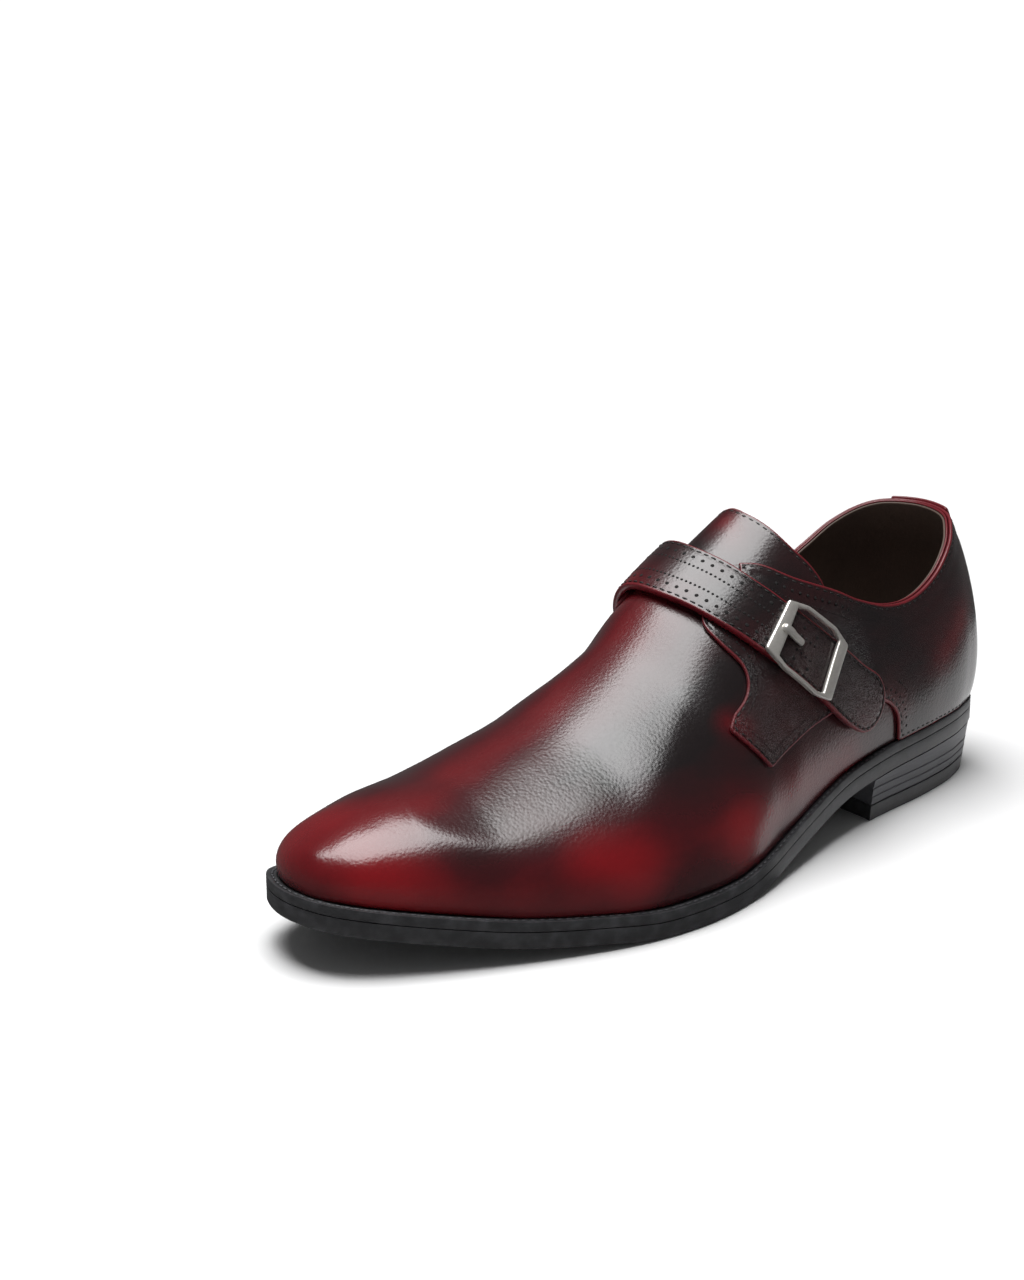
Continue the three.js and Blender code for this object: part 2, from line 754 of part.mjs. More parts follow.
// A band with a rectangular section that follows the strap's line
function strapSolid() {
  const count = 46;
  const lanes = [1, 0.5, 0, -0.5, -1];
  const points = [];
  for (let i = 0; i <= count; i += 1) {
    const distance = strapLine.length * Math.sin(Math.PI / 2 * (i / count)) ** 1.25;
    const half = strapHalf(distance);
    lanes.forEach((lane) => points.push(onStrap(distance, lane * half, strapOffset)));
    const top = strapOffset + strapThickness;
    [...lanes].reverse().forEach((lane) => points.push(onStrap(distance, lane * half, top)));
  }
  return bandSolid(points, 2 * lanes.length);
}

// A closed band between sections of equal size, with flat ends
function bandSolid(points, size) {
  const count = points.length / size;
  const faces = wallFaces(count, size, false);
  const half = size / 2;
  const endBase = (count - 1) * size;
  for (let i = 0; i < half - 1; i += 1) {
    const a = i;
    const b = i + 1;
    const c = size - 2 - i;
    const d = size - 1 - i;
    faces.push([a, b, c], [a, c, d]);
    faces.push([endBase + a, endBase + c, endBase + b], [endBase + a, endBase + d, endBase + c]);
  }
  return solid(points, faces);
}

// Distance along the strap and across it of a point of the buckle's rim, for a turn from 0 to 1
function rimPoint(turn, inset) {
  const halfLength = buckleLength / 2;
  const barHalf = 0.4 * buckleWidth;
  const bow = buckleWidth / 2;
  const corners = [
    [-halfLength, 0],
    [-halfLength, barHalf],
    [-0.45 * halfLength, bow],
    [0.45 * halfLength, bow],
    [halfLength, barHalf],
    [halfLength, 0],
  ];
  const outer = [...corners, ...corners.slice(1, -1).reverse().map(([u, v]) => [u, -v])];
  const place = turn * outer.length;
  const i = Math.floor(place) % outer.length;
  const next = (i + 1) % outer.length;
  const t = place - Math.floor(place);
  const u = THREE.MathUtils.lerp(outer[i][0], outer[next][0], t);
  const v = THREE.MathUtils.lerp(outer[i][1], outer[next][1], t);
  const shrinkU = 1 - inset * buckleBar / halfLength;
  const shrinkV = 1 - inset * buckleSide / bow;
  return { u: u * shrinkU, v: v * shrinkV };
}

// The frame is a flat ring bent to the strap
function buckleSolid() {
  const middle = bucklePlace * strapLine.length;
  const count = 40;
  const points = [];
  const corners = [[0, 0], [0, buckleThickness], [1, buckleThickness], [1, 0]];
  corners.forEach(([inset, height]) => {
    for (let i = 0; i < count; i += 1) {
      const { u, v } = rimPoint(i / count, inset);
      points.push(onStrap(middle + u, v, buckleOffset + height));
    }
  });
  return solid(points, wallFaces(corners.length, count, true));
}

// The prong reaches over the strap from the plate bar
function prongSolid() {
  const start = bucklePlace * strapLine.length - buckleLength / 2 + buckleBar + clearance;
  const count = 8;
  const points = [];
  for (let i = 0; i <= count; i += 1) {
    const distance = start + prongLength * i / count;
    const height = buckleThickness * (0.8 - 0.3 * i / count);
    const half = prongWidth / 2;
    points.push(onStrap(distance, half, buckleOffset));
    points.push(onStrap(distance, -half, buckleOffset));
    points.push(onStrap(distance, -half, buckleOffset + height));
    points.push(onStrap(distance, half, buckleOffset + height));
  }
  return bandSolid(points, 4);
}

const finishes = {
  rubber: { color: 0x1c1b1c, roughness: 0.55, metalness: 0 },
  stack: { color: 0x2a292b, roughness: 0.5, metalness: 0 },
  oxblood: { color: 0x5c0f16, roughness: 0.3, metalness: 0 },
  dark: { color: 0x2b0d10, roughness: 0.32, metalness: 0 },
  lining: { color: 0x3a2620, roughness: 0.8, metalness: 0 },
  nickel: { color: 0xb9b9bd, roughness: 0.25, metalness: 1 },
};

function piece(name, shape, finish) {
  const material = new THREE.MeshStandardMaterial(finishes[finish]);
  const mesh = new THREE.Mesh(geometryFromSolid(shape), material);
  mesh.name = name;
  return mesh;
}

const shoe = new THREE.Group();
shoe.add(
  piece('outsole', outsoleSolid(), 'rubber'),
  piece('welt', weltSolid(), 'rubber'),
  piece('heel', heelSolid(), 'stack'),
  piece('top_lift', topLiftSolid(), 'rubber'),
  piece('insole', insoleSolid(), 'lining'),
  piece('upper', upperSolid(), 'oxblood'),
  piece('quarter', quarterSolid(), 'dark'),
  piece('tongue', tongueSolid(), 'oxblood'),
  piece('back_strip', backStripSolid(), 'dark'),
  piece('strap', strapSolid(), 'oxblood'),
  piece('buckle_frame', buckleSolid(), 'nickel'),
  piece('buckle_prong', prongSolid(), 'nickel'),
);

export default shoe;
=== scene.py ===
"""Looks of a left monk strap shoe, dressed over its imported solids. Lengths of the shoe are in millimetres."""

import logging
import math
from dataclasses import dataclass, field
from enum import Enum
from typing import Any, Callable, Sequence

import bmesh
import bpy
import numpy as np
from mathutils import Matrix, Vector
from mathutils.geometry import delaunay_2d_cdt


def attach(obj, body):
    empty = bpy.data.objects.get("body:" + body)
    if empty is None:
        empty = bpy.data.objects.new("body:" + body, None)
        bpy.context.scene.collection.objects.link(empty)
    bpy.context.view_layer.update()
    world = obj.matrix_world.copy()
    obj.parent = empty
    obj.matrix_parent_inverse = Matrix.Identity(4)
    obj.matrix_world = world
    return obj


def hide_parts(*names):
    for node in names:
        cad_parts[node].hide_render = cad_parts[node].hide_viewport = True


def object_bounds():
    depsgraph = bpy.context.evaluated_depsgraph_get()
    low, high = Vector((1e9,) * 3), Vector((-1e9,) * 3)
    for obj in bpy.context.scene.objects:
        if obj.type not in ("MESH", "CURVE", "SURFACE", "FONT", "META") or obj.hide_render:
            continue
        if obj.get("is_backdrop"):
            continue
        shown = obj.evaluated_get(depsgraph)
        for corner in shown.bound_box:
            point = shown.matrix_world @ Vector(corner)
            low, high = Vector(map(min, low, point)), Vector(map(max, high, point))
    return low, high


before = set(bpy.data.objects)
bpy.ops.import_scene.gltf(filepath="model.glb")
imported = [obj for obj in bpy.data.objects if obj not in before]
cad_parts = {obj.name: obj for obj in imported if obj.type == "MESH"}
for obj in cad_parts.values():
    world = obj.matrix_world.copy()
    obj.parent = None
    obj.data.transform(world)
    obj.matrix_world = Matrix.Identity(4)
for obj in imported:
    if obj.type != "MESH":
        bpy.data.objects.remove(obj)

log = logging.getLogger("shoe")

MM = 0.001
BODY = "root"
# Millimetres between the bands of a wave texture whose scale is one
WAVE_STEP = 314.0

Array = np.ndarray
Rows = Sequence[Sequence[float]]


class Chart(Enum):
    """The two ways to name a place on the last."""

    WRAP = "round the foot, outer side positive, and up the wall"
    OVER = "from heel to toe, and across from the inner welt over the ridge"


class Side(Enum):
    """The two sides of the shoe."""

    OUTER = 1.0
    INNER = -1.0


# Curves


class Smooth:
    """A curve through points that never swings past them."""

    def __init__(self, xs: Sequence[float], ys: Sequence[float]) -> None:
        """Works out the slopes at the points.

        Args:
            xs: rising places of the points.
            ys: values at those places.
        """
        self.xs = np.asarray(xs, float)
        self.ys = np.asarray(ys, float)
        self.steps = np.diff(self.xs)
        rise = np.diff(self.ys) / self.steps
        self.slopes = np.zeros(len(self.xs))
        self.slopes[0], self.slopes[-1] = rise[0], rise[-1]
        for i in range(1, len(self.xs) - 1):
            if rise[i - 1] * rise[i] > 0:
                before = 2 * self.steps[i] + self.steps[i - 1]
                after = self.steps[i] + 2 * self.steps[i - 1]
                self.slopes[i] = (before + after) / (before / rise[i - 1] + after / rise[i])

    def __call__(self, x: Any) -> Array:
        """The curve's value at places.

        Args:
            x: the places; past the ends the curve keeps its last value.

        Returns:
            One value for each place.
        """
        x = np.clip(x, self.xs[0], self.xs[-1])
        i = np.clip(np.searchsorted(self.xs, x, side="right") - 1, 0, len(self.steps) - 1)
        h = self.steps[i]
        t = (x - self.xs[i]) / h
        t2, t3 = t * t, t * t * t
        return (
            (2 * t3 - 3 * t2 + 1) * self.ys[i]
            + (t3 - 2 * t2 + t) * self.slopes[i] * h
            + (3 * t2 - 2 * t3) * self.ys[i + 1]
            + (t3 - t2) * self.slopes[i + 1] * h
        )


def hermite(t: Array, first: Array, leave: Array, last: Array, arrive: Array) -> Array:
    """A smooth step between two points with given directions.

    Args:
        t: share of the way.
        first: point at the start.
        leave: direction at the start.
        last: point at the end.
        arrive: direction at the end.

    Returns:
        Points on the way.
    """
    return (
        (2 * t**3 - 3 * t**2 + 1) * first
        + (t**3 - 2 * t**2 + t) * leave
        + (3 * t**2 - 2 * t**3) * last
        + (t**3 - t**2) * arrive
    )


def spline(points: Any, count: int) -> Array:
    """An open smooth curve through points.

    Args:
        points: rows of coordinates.
        count: number of steps along the whole curve.

    Returns:
        The curve's points, one row each.
    """
    points = np.asarray(points, float)
    ends = len(points) - 1
    place = np.linspace(0, ends, count + 1)
    i = np.minimum(place.astype(int), ends - 1)
    t = (place - i)[:, None]
    p0, p1 = points[np.maximum(i - 1, 0)], points[i]
    p2, p3 = points[i + 1], points[np.minimum(i + 2, ends)]
    return hermite(t, p1, (p2 - p0) / 2, p2, (p3 - p1) / 2)


def closed_spline(points: Any, count: int) -> tuple[Array, Array]:
    """A closed smooth curve through points, with its directions.

    Args:
        points: rows of coordinates.
        count: number of points to return.

    Returns:
        The curve's points and its directions.
    """
    points = np.asarray(points, float)
    size = len(points)
    place = np.arange(count) * size / count
    i = place.astype(int)
    t = (place - i)[:, None]
    p0, p1, p2, p3 = (points[(i + k) % size] for k in (-1, 0, 1, 2))
    gap = lambda a, b: np.sqrt(np.linalg.norm(b - a, axis=1))[:, None]
    d0, d1, d2 = gap(p0, p1), gap(p1, p2), gap(p2, p3)
    start = d1 * ((p1 - p0) / d0 - (p2 - p0) / (d0 + d1) + (p2 - p1) / d1)
    end = d1 * ((p2 - p1) / d1 - (p3 - p1) / (d1 + d2) + (p3 - p2) / d2)
    heading = (
        (6 * t**2 - 6 * t) * p1
        + (3 * t**2 - 4 * t + 1) * start
        + (6 * t - 6 * t**2) * p2
        + (3 * t**2 - 2 * t) * end
    )
    return hermite(t, p1, start, p2, end), heading


def unit(vectors: Array) -> Array:
    """The vectors with a length of one."""
    return vectors / np.maximum(np.linalg.norm(vectors, axis=-1, keepdims=True), 1e-12)


def constant(value: float) -> Callable[[Array], Array]:
    """A width or height that is the same all along the sole."""
    return lambda along: value + 0 * along


def evenly(points: Array, spacing: float, closed: bool = False) -> Array:
    """The same line with its points spaced evenly.

    Args:
        points: rows of coordinates.
        spacing: wanted distance between points.
        closed: True for a loop.

    Returns:
        The new points; a loop's first point isn't repeated.
    """
    line = np.vstack([points, points[:1]]) if closed else points
    run = np.concatenate([[0], np.cumsum(np.linalg.norm(np.diff(line, axis=0), axis=1))])
    count = max(int(round(run[-1] / spacing)), 2)
    at = np.linspace(0, run[-1], count + 1)
    even = np.stack([np.interp(at, run, line[:, k]) for k in range(line.shape[1])], axis=1)
    return even[:-1] if closed else even


def soften(loop: Array, radius: float, spacing: float) -> Array:
    """Rounds the corners of a loop.

    Args:
        loop: evenly spaced points of the loop.
        radius: reach of the rounding.
        spacing: distance between the points.

    Returns:
        The rounded loop.
    """
    width = max(int(3 * radius / spacing), 1)
    weights = np.exp(-0.5 * (np.arange(-width, width + 1) * spacing / radius) ** 2)
    weights /= weights.sum()
    return sum(w * np.roll(loop, k - width, axis=0) for k, w in enumerate(weights))


def inward_of(loop: Array) -> Array:
    """Directions into a closed loop at its points."""
    x, y = loop[:, 0], loop[:, 1]
    area = (x * np.roll(y, -1) - y * np.roll(x, -1)).sum()
    heading = unit(np.roll(loop, -1, axis=0) - np.roll(loop, 1, axis=0)) * np.sign(area)
    return np.stack([-heading[:, 1], heading[:, 0]], axis=1)


def distance_to(points: Array, line: Array, closed: bool = True) -> Array:
    """Distance from each point to a line.

    Args:
        points: rows of two coordinates.
        line: the line's points.
        closed: True if the line's ends join.

    Returns:
        One distance for each point.
    """
    ends = np.roll(line, -1, axis=0) if closed else line[1:]
    starts = line if closed else line[:-1]
    legs = ends - starts
    length = np.maximum((legs**2).sum(1), 1e-12)
    best = np.empty(len(points))
    for low in range(0, len(points), 1500):
        block = points[low : low + 1500, None]
        t = np.clip(((block - starts) * legs).sum(-1) / length, 0, 1)
        best[low : low + 1500] = np.sqrt((((starts + t[..., None] * legs) - block) ** 2).sum(-1)).min(1)
    return best


def inside(points: Array, loop: Array) -> Array:
    """Whether each point lies in a closed loop.

    Args:
        points: rows of two coordinates.
        loop: the loop's points.

    Returns:
        True or False for each point.
    """
    x, y = points[:, 0][:, None], points[:, 1][:, None]
    x1, y1 = loop[:, 0], loop[:, 1]
    x2, y2 = np.roll(x1, -1), np.roll(y1, -1)
    crossing = ((y1 > y) != (y2 > y)) & (x < (x2 - x1) * (y - y1) / (y2 - y1 + 1e-12) + x1)
    return crossing.sum(1) % 2 == 1


# The last


@dataclass
class Last:
    """The form that the leather is drawn over, and the sole under it, from named sizes and tables."""

    sole_length: float = 305.0
    ball_width: float = 104.0
    heel_length: float = 80.0
    seat_height: float = 19.1
    toe_spring: float = 15.5
    outsole_thickness: float = 5.6
    welt_thickness: float = 3.4
    ledge_width: float = 3.8
    instep_depth: float = 87.0
    side_bulge: float = 10.0
    collar_height: float = 69.5
    clearance: float = 0.3
    wall_scale: float = 125.0
    crease_bend: float = 0.012
    crease_bank: float = 0.45

    # Once round from the heel's back by the outer side: along the sole, across it
    outline_rows: Rows = (
        (0, 0), (0.022, 0.2), (0.07, 0.275), (0.14, 0.32), (0.24, 0.35), (0.34, 0.393), (0.44, 0.464),
        (0.53, 0.534), (0.61, 0.562), (0.69, 0.536), (0.77, 0.459), (0.85, 0.351), (0.92, 0.236),
        (0.968, 0.134), (0.991, 0.048), (1, -0.07), (0.991, -0.19), (0.966, -0.3), (0.92, -0.356),
        (0.85, -0.408), (0.77, -0.44), (0.69, -0.448), (0.61, -0.425), (0.53, -0.365), (0.44, -0.3),
        (0.34, -0.276), (0.24, -0.296), (0.14, -0.316), (0.07, -0.275), (0.022, -0.19),
    )
    columns: Sequence[str] = (
        "along", "rear", "front", "ledge", "ridge", "depth", "swing",
        "out_bulge", "out_rise", "out_full", "in_bulge", "in_rise", "in_full",
    )
    rows: Rows = (
        (0.0, 1.0, 0.0, 0.53, 0.165, 1.17, 0.0, 1.0, 0.16, 0.765, 1.0, 0.16, 0.765),
        (0.1, 0.974, 0.0, 0.53, 0.18, 1.18, 0.0, 0.8, 0.31, 0.8, 0.8, 0.33, 0.82),
        (0.2, 0.916, 0.0, 0.53, 0.22, 1.16, -0.02, 0.4, 0.435, 0.76, 0.5, 0.475, 0.74),
        (0.3, 0.79, 0.0, 0.55, 0.3, 1.12, -0.05, 0.3, 0.43, 0.65, 0.7, 0.53, 0.76),
        (0.4, 0.455, 0.0, 0.63, 0.395, 1.0, -0.09, 0.3, 0.42, 0.64, 0.9, 0.6, 0.84),
        (0.5, 0.105, 0.0, 0.74, 0.495, 0.87, -0.095, 0.5, 0.4, 0.61, 0.8, 0.54, 0.66),
        (0.56, 0.0, 0.0, 0.79, 0.555, 0.742, -0.085, 0.6, 0.43, 0.59, 0.5, 0.47, 0.5),
        (0.66, 0.0, 0.0, 0.87, 0.655, 0.58, -0.085, 0.6, 0.47, 0.6, 0.3, 0.485, 0.52),
        (0.74, 0.0, 0.148, 0.92, 0.73, 0.47, -0.095, 0.6, 0.49, 0.63, 0.4, 0.465, 0.58),
        (0.82, 0.0, 0.316, 0.95, 0.8, 0.385, -0.095, 0.5, 0.515, 0.66, 0.4, 0.485, 0.64),
        (0.9, 0.0, 0.6, 0.97, 0.86, 0.32, -0.085, 0.4, 0.51, 0.69, 0.4, 0.47, 0.69),
        (1.0, 0.0, 1.0, 1.0, 0.9, 0.225, -0.075, 0.3, 0.57, 0.72, 0.3, 0.52, 0.72),
    )
    # Soft troughs, and ridges where the depth is negative: along, across, turn in degrees, half length,
    # half width, depth. Ridges: the outer crest from the toe back, the toe's front edge, the same crest
    # on the inner side. Troughs: two faint ones at the bend of the foot and one below the buckle.
    crease_rows: Rows = (
        (0.75, 0.92, -14, 34, 7.0, -1.1),
        (0.985, 0.0, 68, 14, 4.0, -0.6),
        (0.77, -0.78, 10, 32, 7.0, -0.6),
        (0.66, 0.6, 64, 14, 6.0, 0.1),
        (0.6, -0.5, 122, 18, 6.0, 0.2),
        (0.45, 0.72, 70, 14, 5.0, 0.25),
    )

    def __post_init__(self) -> None:
        """Reads the tables and measures the wall's run from heel to toe."""
        along = [row[0] for row in self.rows]
        self.at = {
            name: Smooth(along, [row[i] for row in self.rows]) for i, name in enumerate(self.columns) if i > 0
        }
        self.heel_centre = self.heel_length / 2
        self.welt_top = self.clearance + self.outsole_thickness + self.welt_thickness
        self.feather = Outline(self, lambda share: self.ledge_width * self.at["ledge"](share))
        stations = np.linspace(0, 1, 401)
        run = self.surface(stations, np.ones(401), np.full(401, 0.4))
        steps = np.linalg.norm(np.diff(run, axis=0), axis=1)
        self.runs = np.concatenate([[0], np.cumsum(steps)])
        self.stations = stations

    def underside(self, along: Any) -> Array:
        """Height of the outsole's underside."""
        return self.seat_height * self.at["rear"](along) + self.toe_spring * self.at["front"](along)

    def foot_height(self, along: Any) -> Array:
        """Height at which the leather stands on the welt."""
        return self.underside(along) + self.welt_top + self.clearance

    def surface(self, station: Array, side: Array, reach: Array) -> Array:
        """Points of the last.

        Args:
            station: 0 at the heel's back to 1 at the toe.
            side: positive on the outer side.
            reach: 0 at the welt to 1 on the ridge.

        Returns:
            Points, one row each.
        """
        x, s, normal_x, _ = self.feather(station, side)
        along = s / self.sole_length
        foot = self.foot_height(along)
        depth = self.instep_depth * self.at["depth"](along)
        ridge_x = self.at["swing"](along) * self.ball_width
        ridge_s = self.at["ridge"](along) * self.sole_length
        ridge_z = self.underside(along) + self.welt_top + depth
        dx, ds = x - ridge_x, s - ridge_s
        share = np.clip(0.5 + 0.62 * normal_x, 0, 1)
        share = share * share * (3 - 2 * share)
        inner = lambda name: (1 - share) * self.at["in_" + name](along)
        blend = lambda name: inner(name) + share * self.at["out_" + name](along)
        bulge = blend("bulge") * self.side_bulge / np.hypot(dx, ds)
        full = blend("full")
        a, b = (1 - reach) ** 3, 3 * (1 - reach) ** 2 * reach
        c, d = 3 * (1 - reach) * reach**2, reach**3
        level = a + b * (1 + bulge) + c * full
        shoulder = ridge_z + self.ridge_slope(along) * ds * full
        z = a * foot + b * (foot + blend("rise") * depth) + c * shoulder + d * ridge_z
        return np.stack([ridge_x + dx * level, self.heel_centre - ridge_s - ds * level, z], axis=-1)

    def ridge_slope(self, along: Array) -> Array:
        """Slope of the ridge line towards the toe."""
        step = 0.001
        height = lambda at: self.underside(at) + self.instep_depth * self.at["depth"](at)
        run = (self.at["ridge"](along + step) - self.at["ridge"](along - step)) * self.sole_length
        return np.clip((height(along + step) - height(along - step)) / (run + 1e-9), -1.2, 0.2)

    def place(self, chart: Chart, u: Any, v: Any) -> Array:
        """Points of the last by the coordinates of a chart.

        Args:
            chart: the chart that u and v belong to.
            u: first coordinate.
            v: second coordinate.

        Returns:
            Points, one for each pair.
        """
        u, v = np.broadcast_arrays(np.asarray(u, float), np.asarray(v, float))
        if chart is Chart.WRAP:
            past = np.abs(u) > 1
            station = np.where(past, 2 - np.abs(u), np.abs(u))
            side = np.where(u < 0, -1.0, 1.0) * np.where(past, -1.0, 1.0)
            return self.surface(station, side, np.clip(v, 0, 1))
        return self.surface(np.clip(u, 0, 1), np.where(v < 0, -1.0, 1.0), 1 - np.clip(np.abs(v), 0, 1))

    def grain(self, chart: Chart, u: Any, v: Any) -> tuple[Array, Array, Array]:
        """Both directions of a chart on the surface, and the outward normal.

        Args:
            chart: the chart that u and v belong to.
            u: first coordinate.
            v: second coordinate.

        Returns:
            Change of place with u, change of place with v, and the normal.
        """
        step = 0.002
        u, v = np.broadcast_arrays(np.asarray(u, float), np.asarray(v, float))
        edge = (0.0, 1.0) if chart is Chart.WRAP else (-1.0, 1.0)
        low, high = np.clip(v - step, *edge), np.clip(v + step, *edge)
        du = (self.place(chart, u + step, v) - self.place(chart, u - step, v)) / (2 * step)
        dv = (self.place(chart, u, high) - self.place(chart, u, low)) / (high - low)[..., None]
        normal = np.cross(dv, du) if chart is Chart.WRAP else np.cross(du, dv)
        return du, dv, unit(normal)

    def lifted(self, chart: Chart, u: Any, v: Any, lift: Any) -> Array:
        """Points held off the last along its normal, sunk where the leather is creased."""
        points = self.place(chart, u, v)
        normal = self.grain(chart, u, v)[2]
        lift = np.asarray(lift, float) - self.crease(points)
        return points + normal * np.broadcast_to(lift, points.shape[:-1])[..., None]

    def crease(self, points: Array) -> Array:
        """Depth of the soft troughs at points of the surface.

        Args:
            points: places on the last.

        Returns:
            Depth at each point, negative on a ridge.
        """
        along = (self.heel_centre - points[..., 1]) / self.sole_length
        half = self.ball_width / 2
        depth = np.zeros(points.shape[:-1])
        for place, across, turn, length, width, deep in self.crease_rows:
            ds = (along - place) * self.sole_length
            dx = points[..., 0] - across * half
            c, s = math.cos(math.radians(turn)), math.sin(math.radians(turn))
            run = ds * c + dx * s
            off = dx * c - ds * s + self.crease_bend * run**2
            bank = self.crease_bank if deep > 0 else 0.0
            beside = (np.abs(off) - 2 * width) / width
            trough = np.exp(-((off / width) ** 2)) - bank * np.exp(-(beside**2))
            depth += deep * trough * np.exp(-((run / length) ** 2))
        return depth

    def flat(self, chart: Chart, u: Array, v: Array) -> Array:
        """Places of a chart laid out nearly true to size."""
        run = np.interp(np.abs(u), self.stations, self.runs)
        side = np.where(u < 0, -1.0, 1.0) if chart is Chart.WRAP else 1.0
        return np.stack([run * side, v * self.wall_scale], axis=-1)

    def unflat(self, chart: Chart, laid: Array) -> tuple[Array, Array]:
        """The chart's coordinates of places that are laid out."""
        station = np.interp(np.abs(laid[:, 0]), self.runs, self.stations)
        side = np.where(laid[:, 0] < 0, -1.0, 1.0) if chart is Chart.WRAP else 1.0
        return station * side, laid[:, 1] / self.wall_scale

    def on(self, chart: Chart, laid: Array, lift: Any) -> Array:
        """Points over places that are laid out, at a lift."""
        return self.lifted(chart, *self.unflat(chart, laid), lift)

    def find(self, chart: Chart, side: Side, view: Array, across: int = 1) -> Array:
        """The places of a side that show at points of a view from the side or from behind.

        Args:
            chart: chart to answer in.
            side: side of the shoe.
            view: rows of the place along the view's level axis, and height.
            across: the view's level axis, 1 for a side view with y, 0 for one from behind with x.

        Returns:
            Laid out places, without those that miss the last.
        """
        reach = 0.99 if across else 0.2
        tries = np.linspace(0.001, reach, 120), np.linspace(0.01, 0.99, 60)
        grid_u, grid_v = (grid.ravel() for grid in np.meshgrid(*tries, indexing="ij"))
        if chart is Chart.WRAP:
            grid_u = grid_u * side.value
        else:
            grid_v = grid_v * side.value
        axes = [across, 2]
        seen = self.place(chart, grid_u, grid_v)[:, axes]
        near = ((seen[None] - view[:, None]) ** 2).sum(-1).argmin(1)
        u, v = grid_u[near], grid_v[near]
        for _ in range(14):
            miss = view - self.place(chart, u, v)[:, axes]
            du, dv, _ = self.grain(chart, u, v)
            du, dv = du[:, axes], dv[:, axes]
            det = du[:, 0] * dv[:, 1] - dv[:, 0] * du[:, 1]
            det = np.where(np.abs(det) < 1e-3, 1e-3, det)
            u = u + np.clip((miss[:, 0] * dv[:, 1] - dv[:, 0] * miss[:, 1]) / det, -0.03, 0.03)
            v = v + np.clip((du[:, 0] * miss[:, 1] - du[:, 1] * miss[:, 0]) / det, -0.06, 0.06)
            v = np.clip(v, 0, 1) if chart is Chart.WRAP else side.value * np.clip(v * side.value, 0, 1)
        good = np.linalg.norm(view - self.place(chart, u, v)[:, axes], axis=1) < 0.15
        return self.flat(chart, u[good], v[good])

    def side_view(self, rows: Rows, count: int) -> Array:
        """Side view points of a table of lengths and heights, as y and z; a count of 0 keeps the corners."""
        seat = self.foot_height(0.0)
        points = [
            (self.heel_centre - along * self.sole_length, seat + height * self.collar_height)
            for along, height in rows
        ]
        return spline(points, count) if count else np.asarray(points)


class Outline:
    """The sole's outline moved in by a width, read by station and side."""

    def __init__(self, last: Last, inset: Callable[[Array], Array]) -> None:
        """Lays the outline out as two lists, outer and inner.

        Args:
            last: the last that holds the table.
            inset: width to move in, for a share along the sole.
        """
        points = [(across * last.ball_width, along * last.sole_length) for along, across in last.outline_rows]
        curve, heading = closed_spline(points, 1500)
        normal = unit(np.stack([heading[:, 1], -heading[:, 0]], axis=1))
        width = np.broadcast_to(inset(curve[:, 1] / last.sole_length), len(curve))
        moved = np.hstack([curve - normal * width[:, None], normal])
        moved = np.roll(moved, -moved[:, 1].argmin(), axis=0)
        moved = np.vstack([moved, moved[:1]])
        toe = moved[:, 1].argmax()
        self.outer, self.inner = moved[: toe + 1], moved[toe:][::-1]
        self.start, self.end = moved[0, 1], moved[toe, 1]

    def at_length(self, s: Array, side: Array) -> tuple[Array, Array, Array, Array]:
        """Place and outward direction at lengths from the heel."""
        read = lambda rows, k: np.interp(s, rows[:, 1], rows[:, k])
        pick = lambda k: np.where(side > 0, read(self.outer, k), read(self.inner, k))
        nx, ns = pick(2), pick(3)
        size = np.maximum(np.hypot(nx, ns), 1e-9)
        return pick(0), s, nx / size, ns / size

    def __call__(self, station: Any, side: Any) -> tuple[Array, Array, Array, Array]:
        """Place and outward direction at stations."""
        station, side = np.broadcast_arrays(np.asarray(station, float), np.asarray(side, float))
        return self.at_length(self.start + (self.end - self.start) * (1 - np.cos(np.pi * station)) / 2, side)


# Meshes


@dataclass
class Skin:
    """Points, faces and named values of a piece while it is put together."""

    points: list[Array] = field(default_factory=list)
    faces: list[tuple[int, ...]] = field(default_factory=list)
    edge: list[Array] = field(default_factory=list)
    size: int = 0

    def add(self, points: Array, edge: Any = 0.0) -> int:
        """Adds points and returns the number of the first.

        Args:
            points: rows of coordinates in millimetres.
            edge: how far each point belongs to a cut edge, 0 to 1.

        Returns:
            Number of the first new point.
        """
        first = self.size
        self.points.append(points)
        self.edge.append(np.broadcast_to(np.asarray(edge, float), len(points)).copy())
        self.size += len(points)
        return first

    def band(self, low: Sequence[int], high: Sequence[int], closed: bool = True) -> None:
        """Joins two rows of points. From outside, the rows run left to right and the second is above."""
        count = len(low)
        for i in range(count if closed else count - 1):
            j = (i + 1) % count
            self.faces.append((low[i], low[j], high[j], high[i]))

    def build(
        self, name: str, material: bpy.types.Material, wine: Callable[[Array], Array] | None
    ) -> bpy.types.Object:
        """Makes the Blender object.

        Args:
            name: name of the piece.
            material: its finish.
            wine: gives the brightness of the dye at points, if the piece is dyed.

        Returns:
            The finished object.
        """
        points = np.vstack(self.points)
        mesh = bpy.data.meshes.new(name)
        mesh.from_pydata((points * MM).tolist(), [], self.faces)
        mesh.polygons.foreach_set("use_smooth", np.ones(len(mesh.polygons), bool))
        values = {"edge": np.concatenate(self.edge)}
        if wine is not None:
            values["wine"] = wine(points)
            values["stamp"] = np.full(len(points), float(name in ("strap_leather", "quarter_leather")))
        for key, value in values.items():
            layer = mesh.attributes.new(key, "FLOAT", "POINT")
            layer.data.foreach_set("value", value.astype(np.float32))
        close_up(mesh)
        piece = bpy.data.objects.new(name, mesh)
        bpy.context.collection.objects.link(piece)
        mesh.materials.append(material)
        return piece


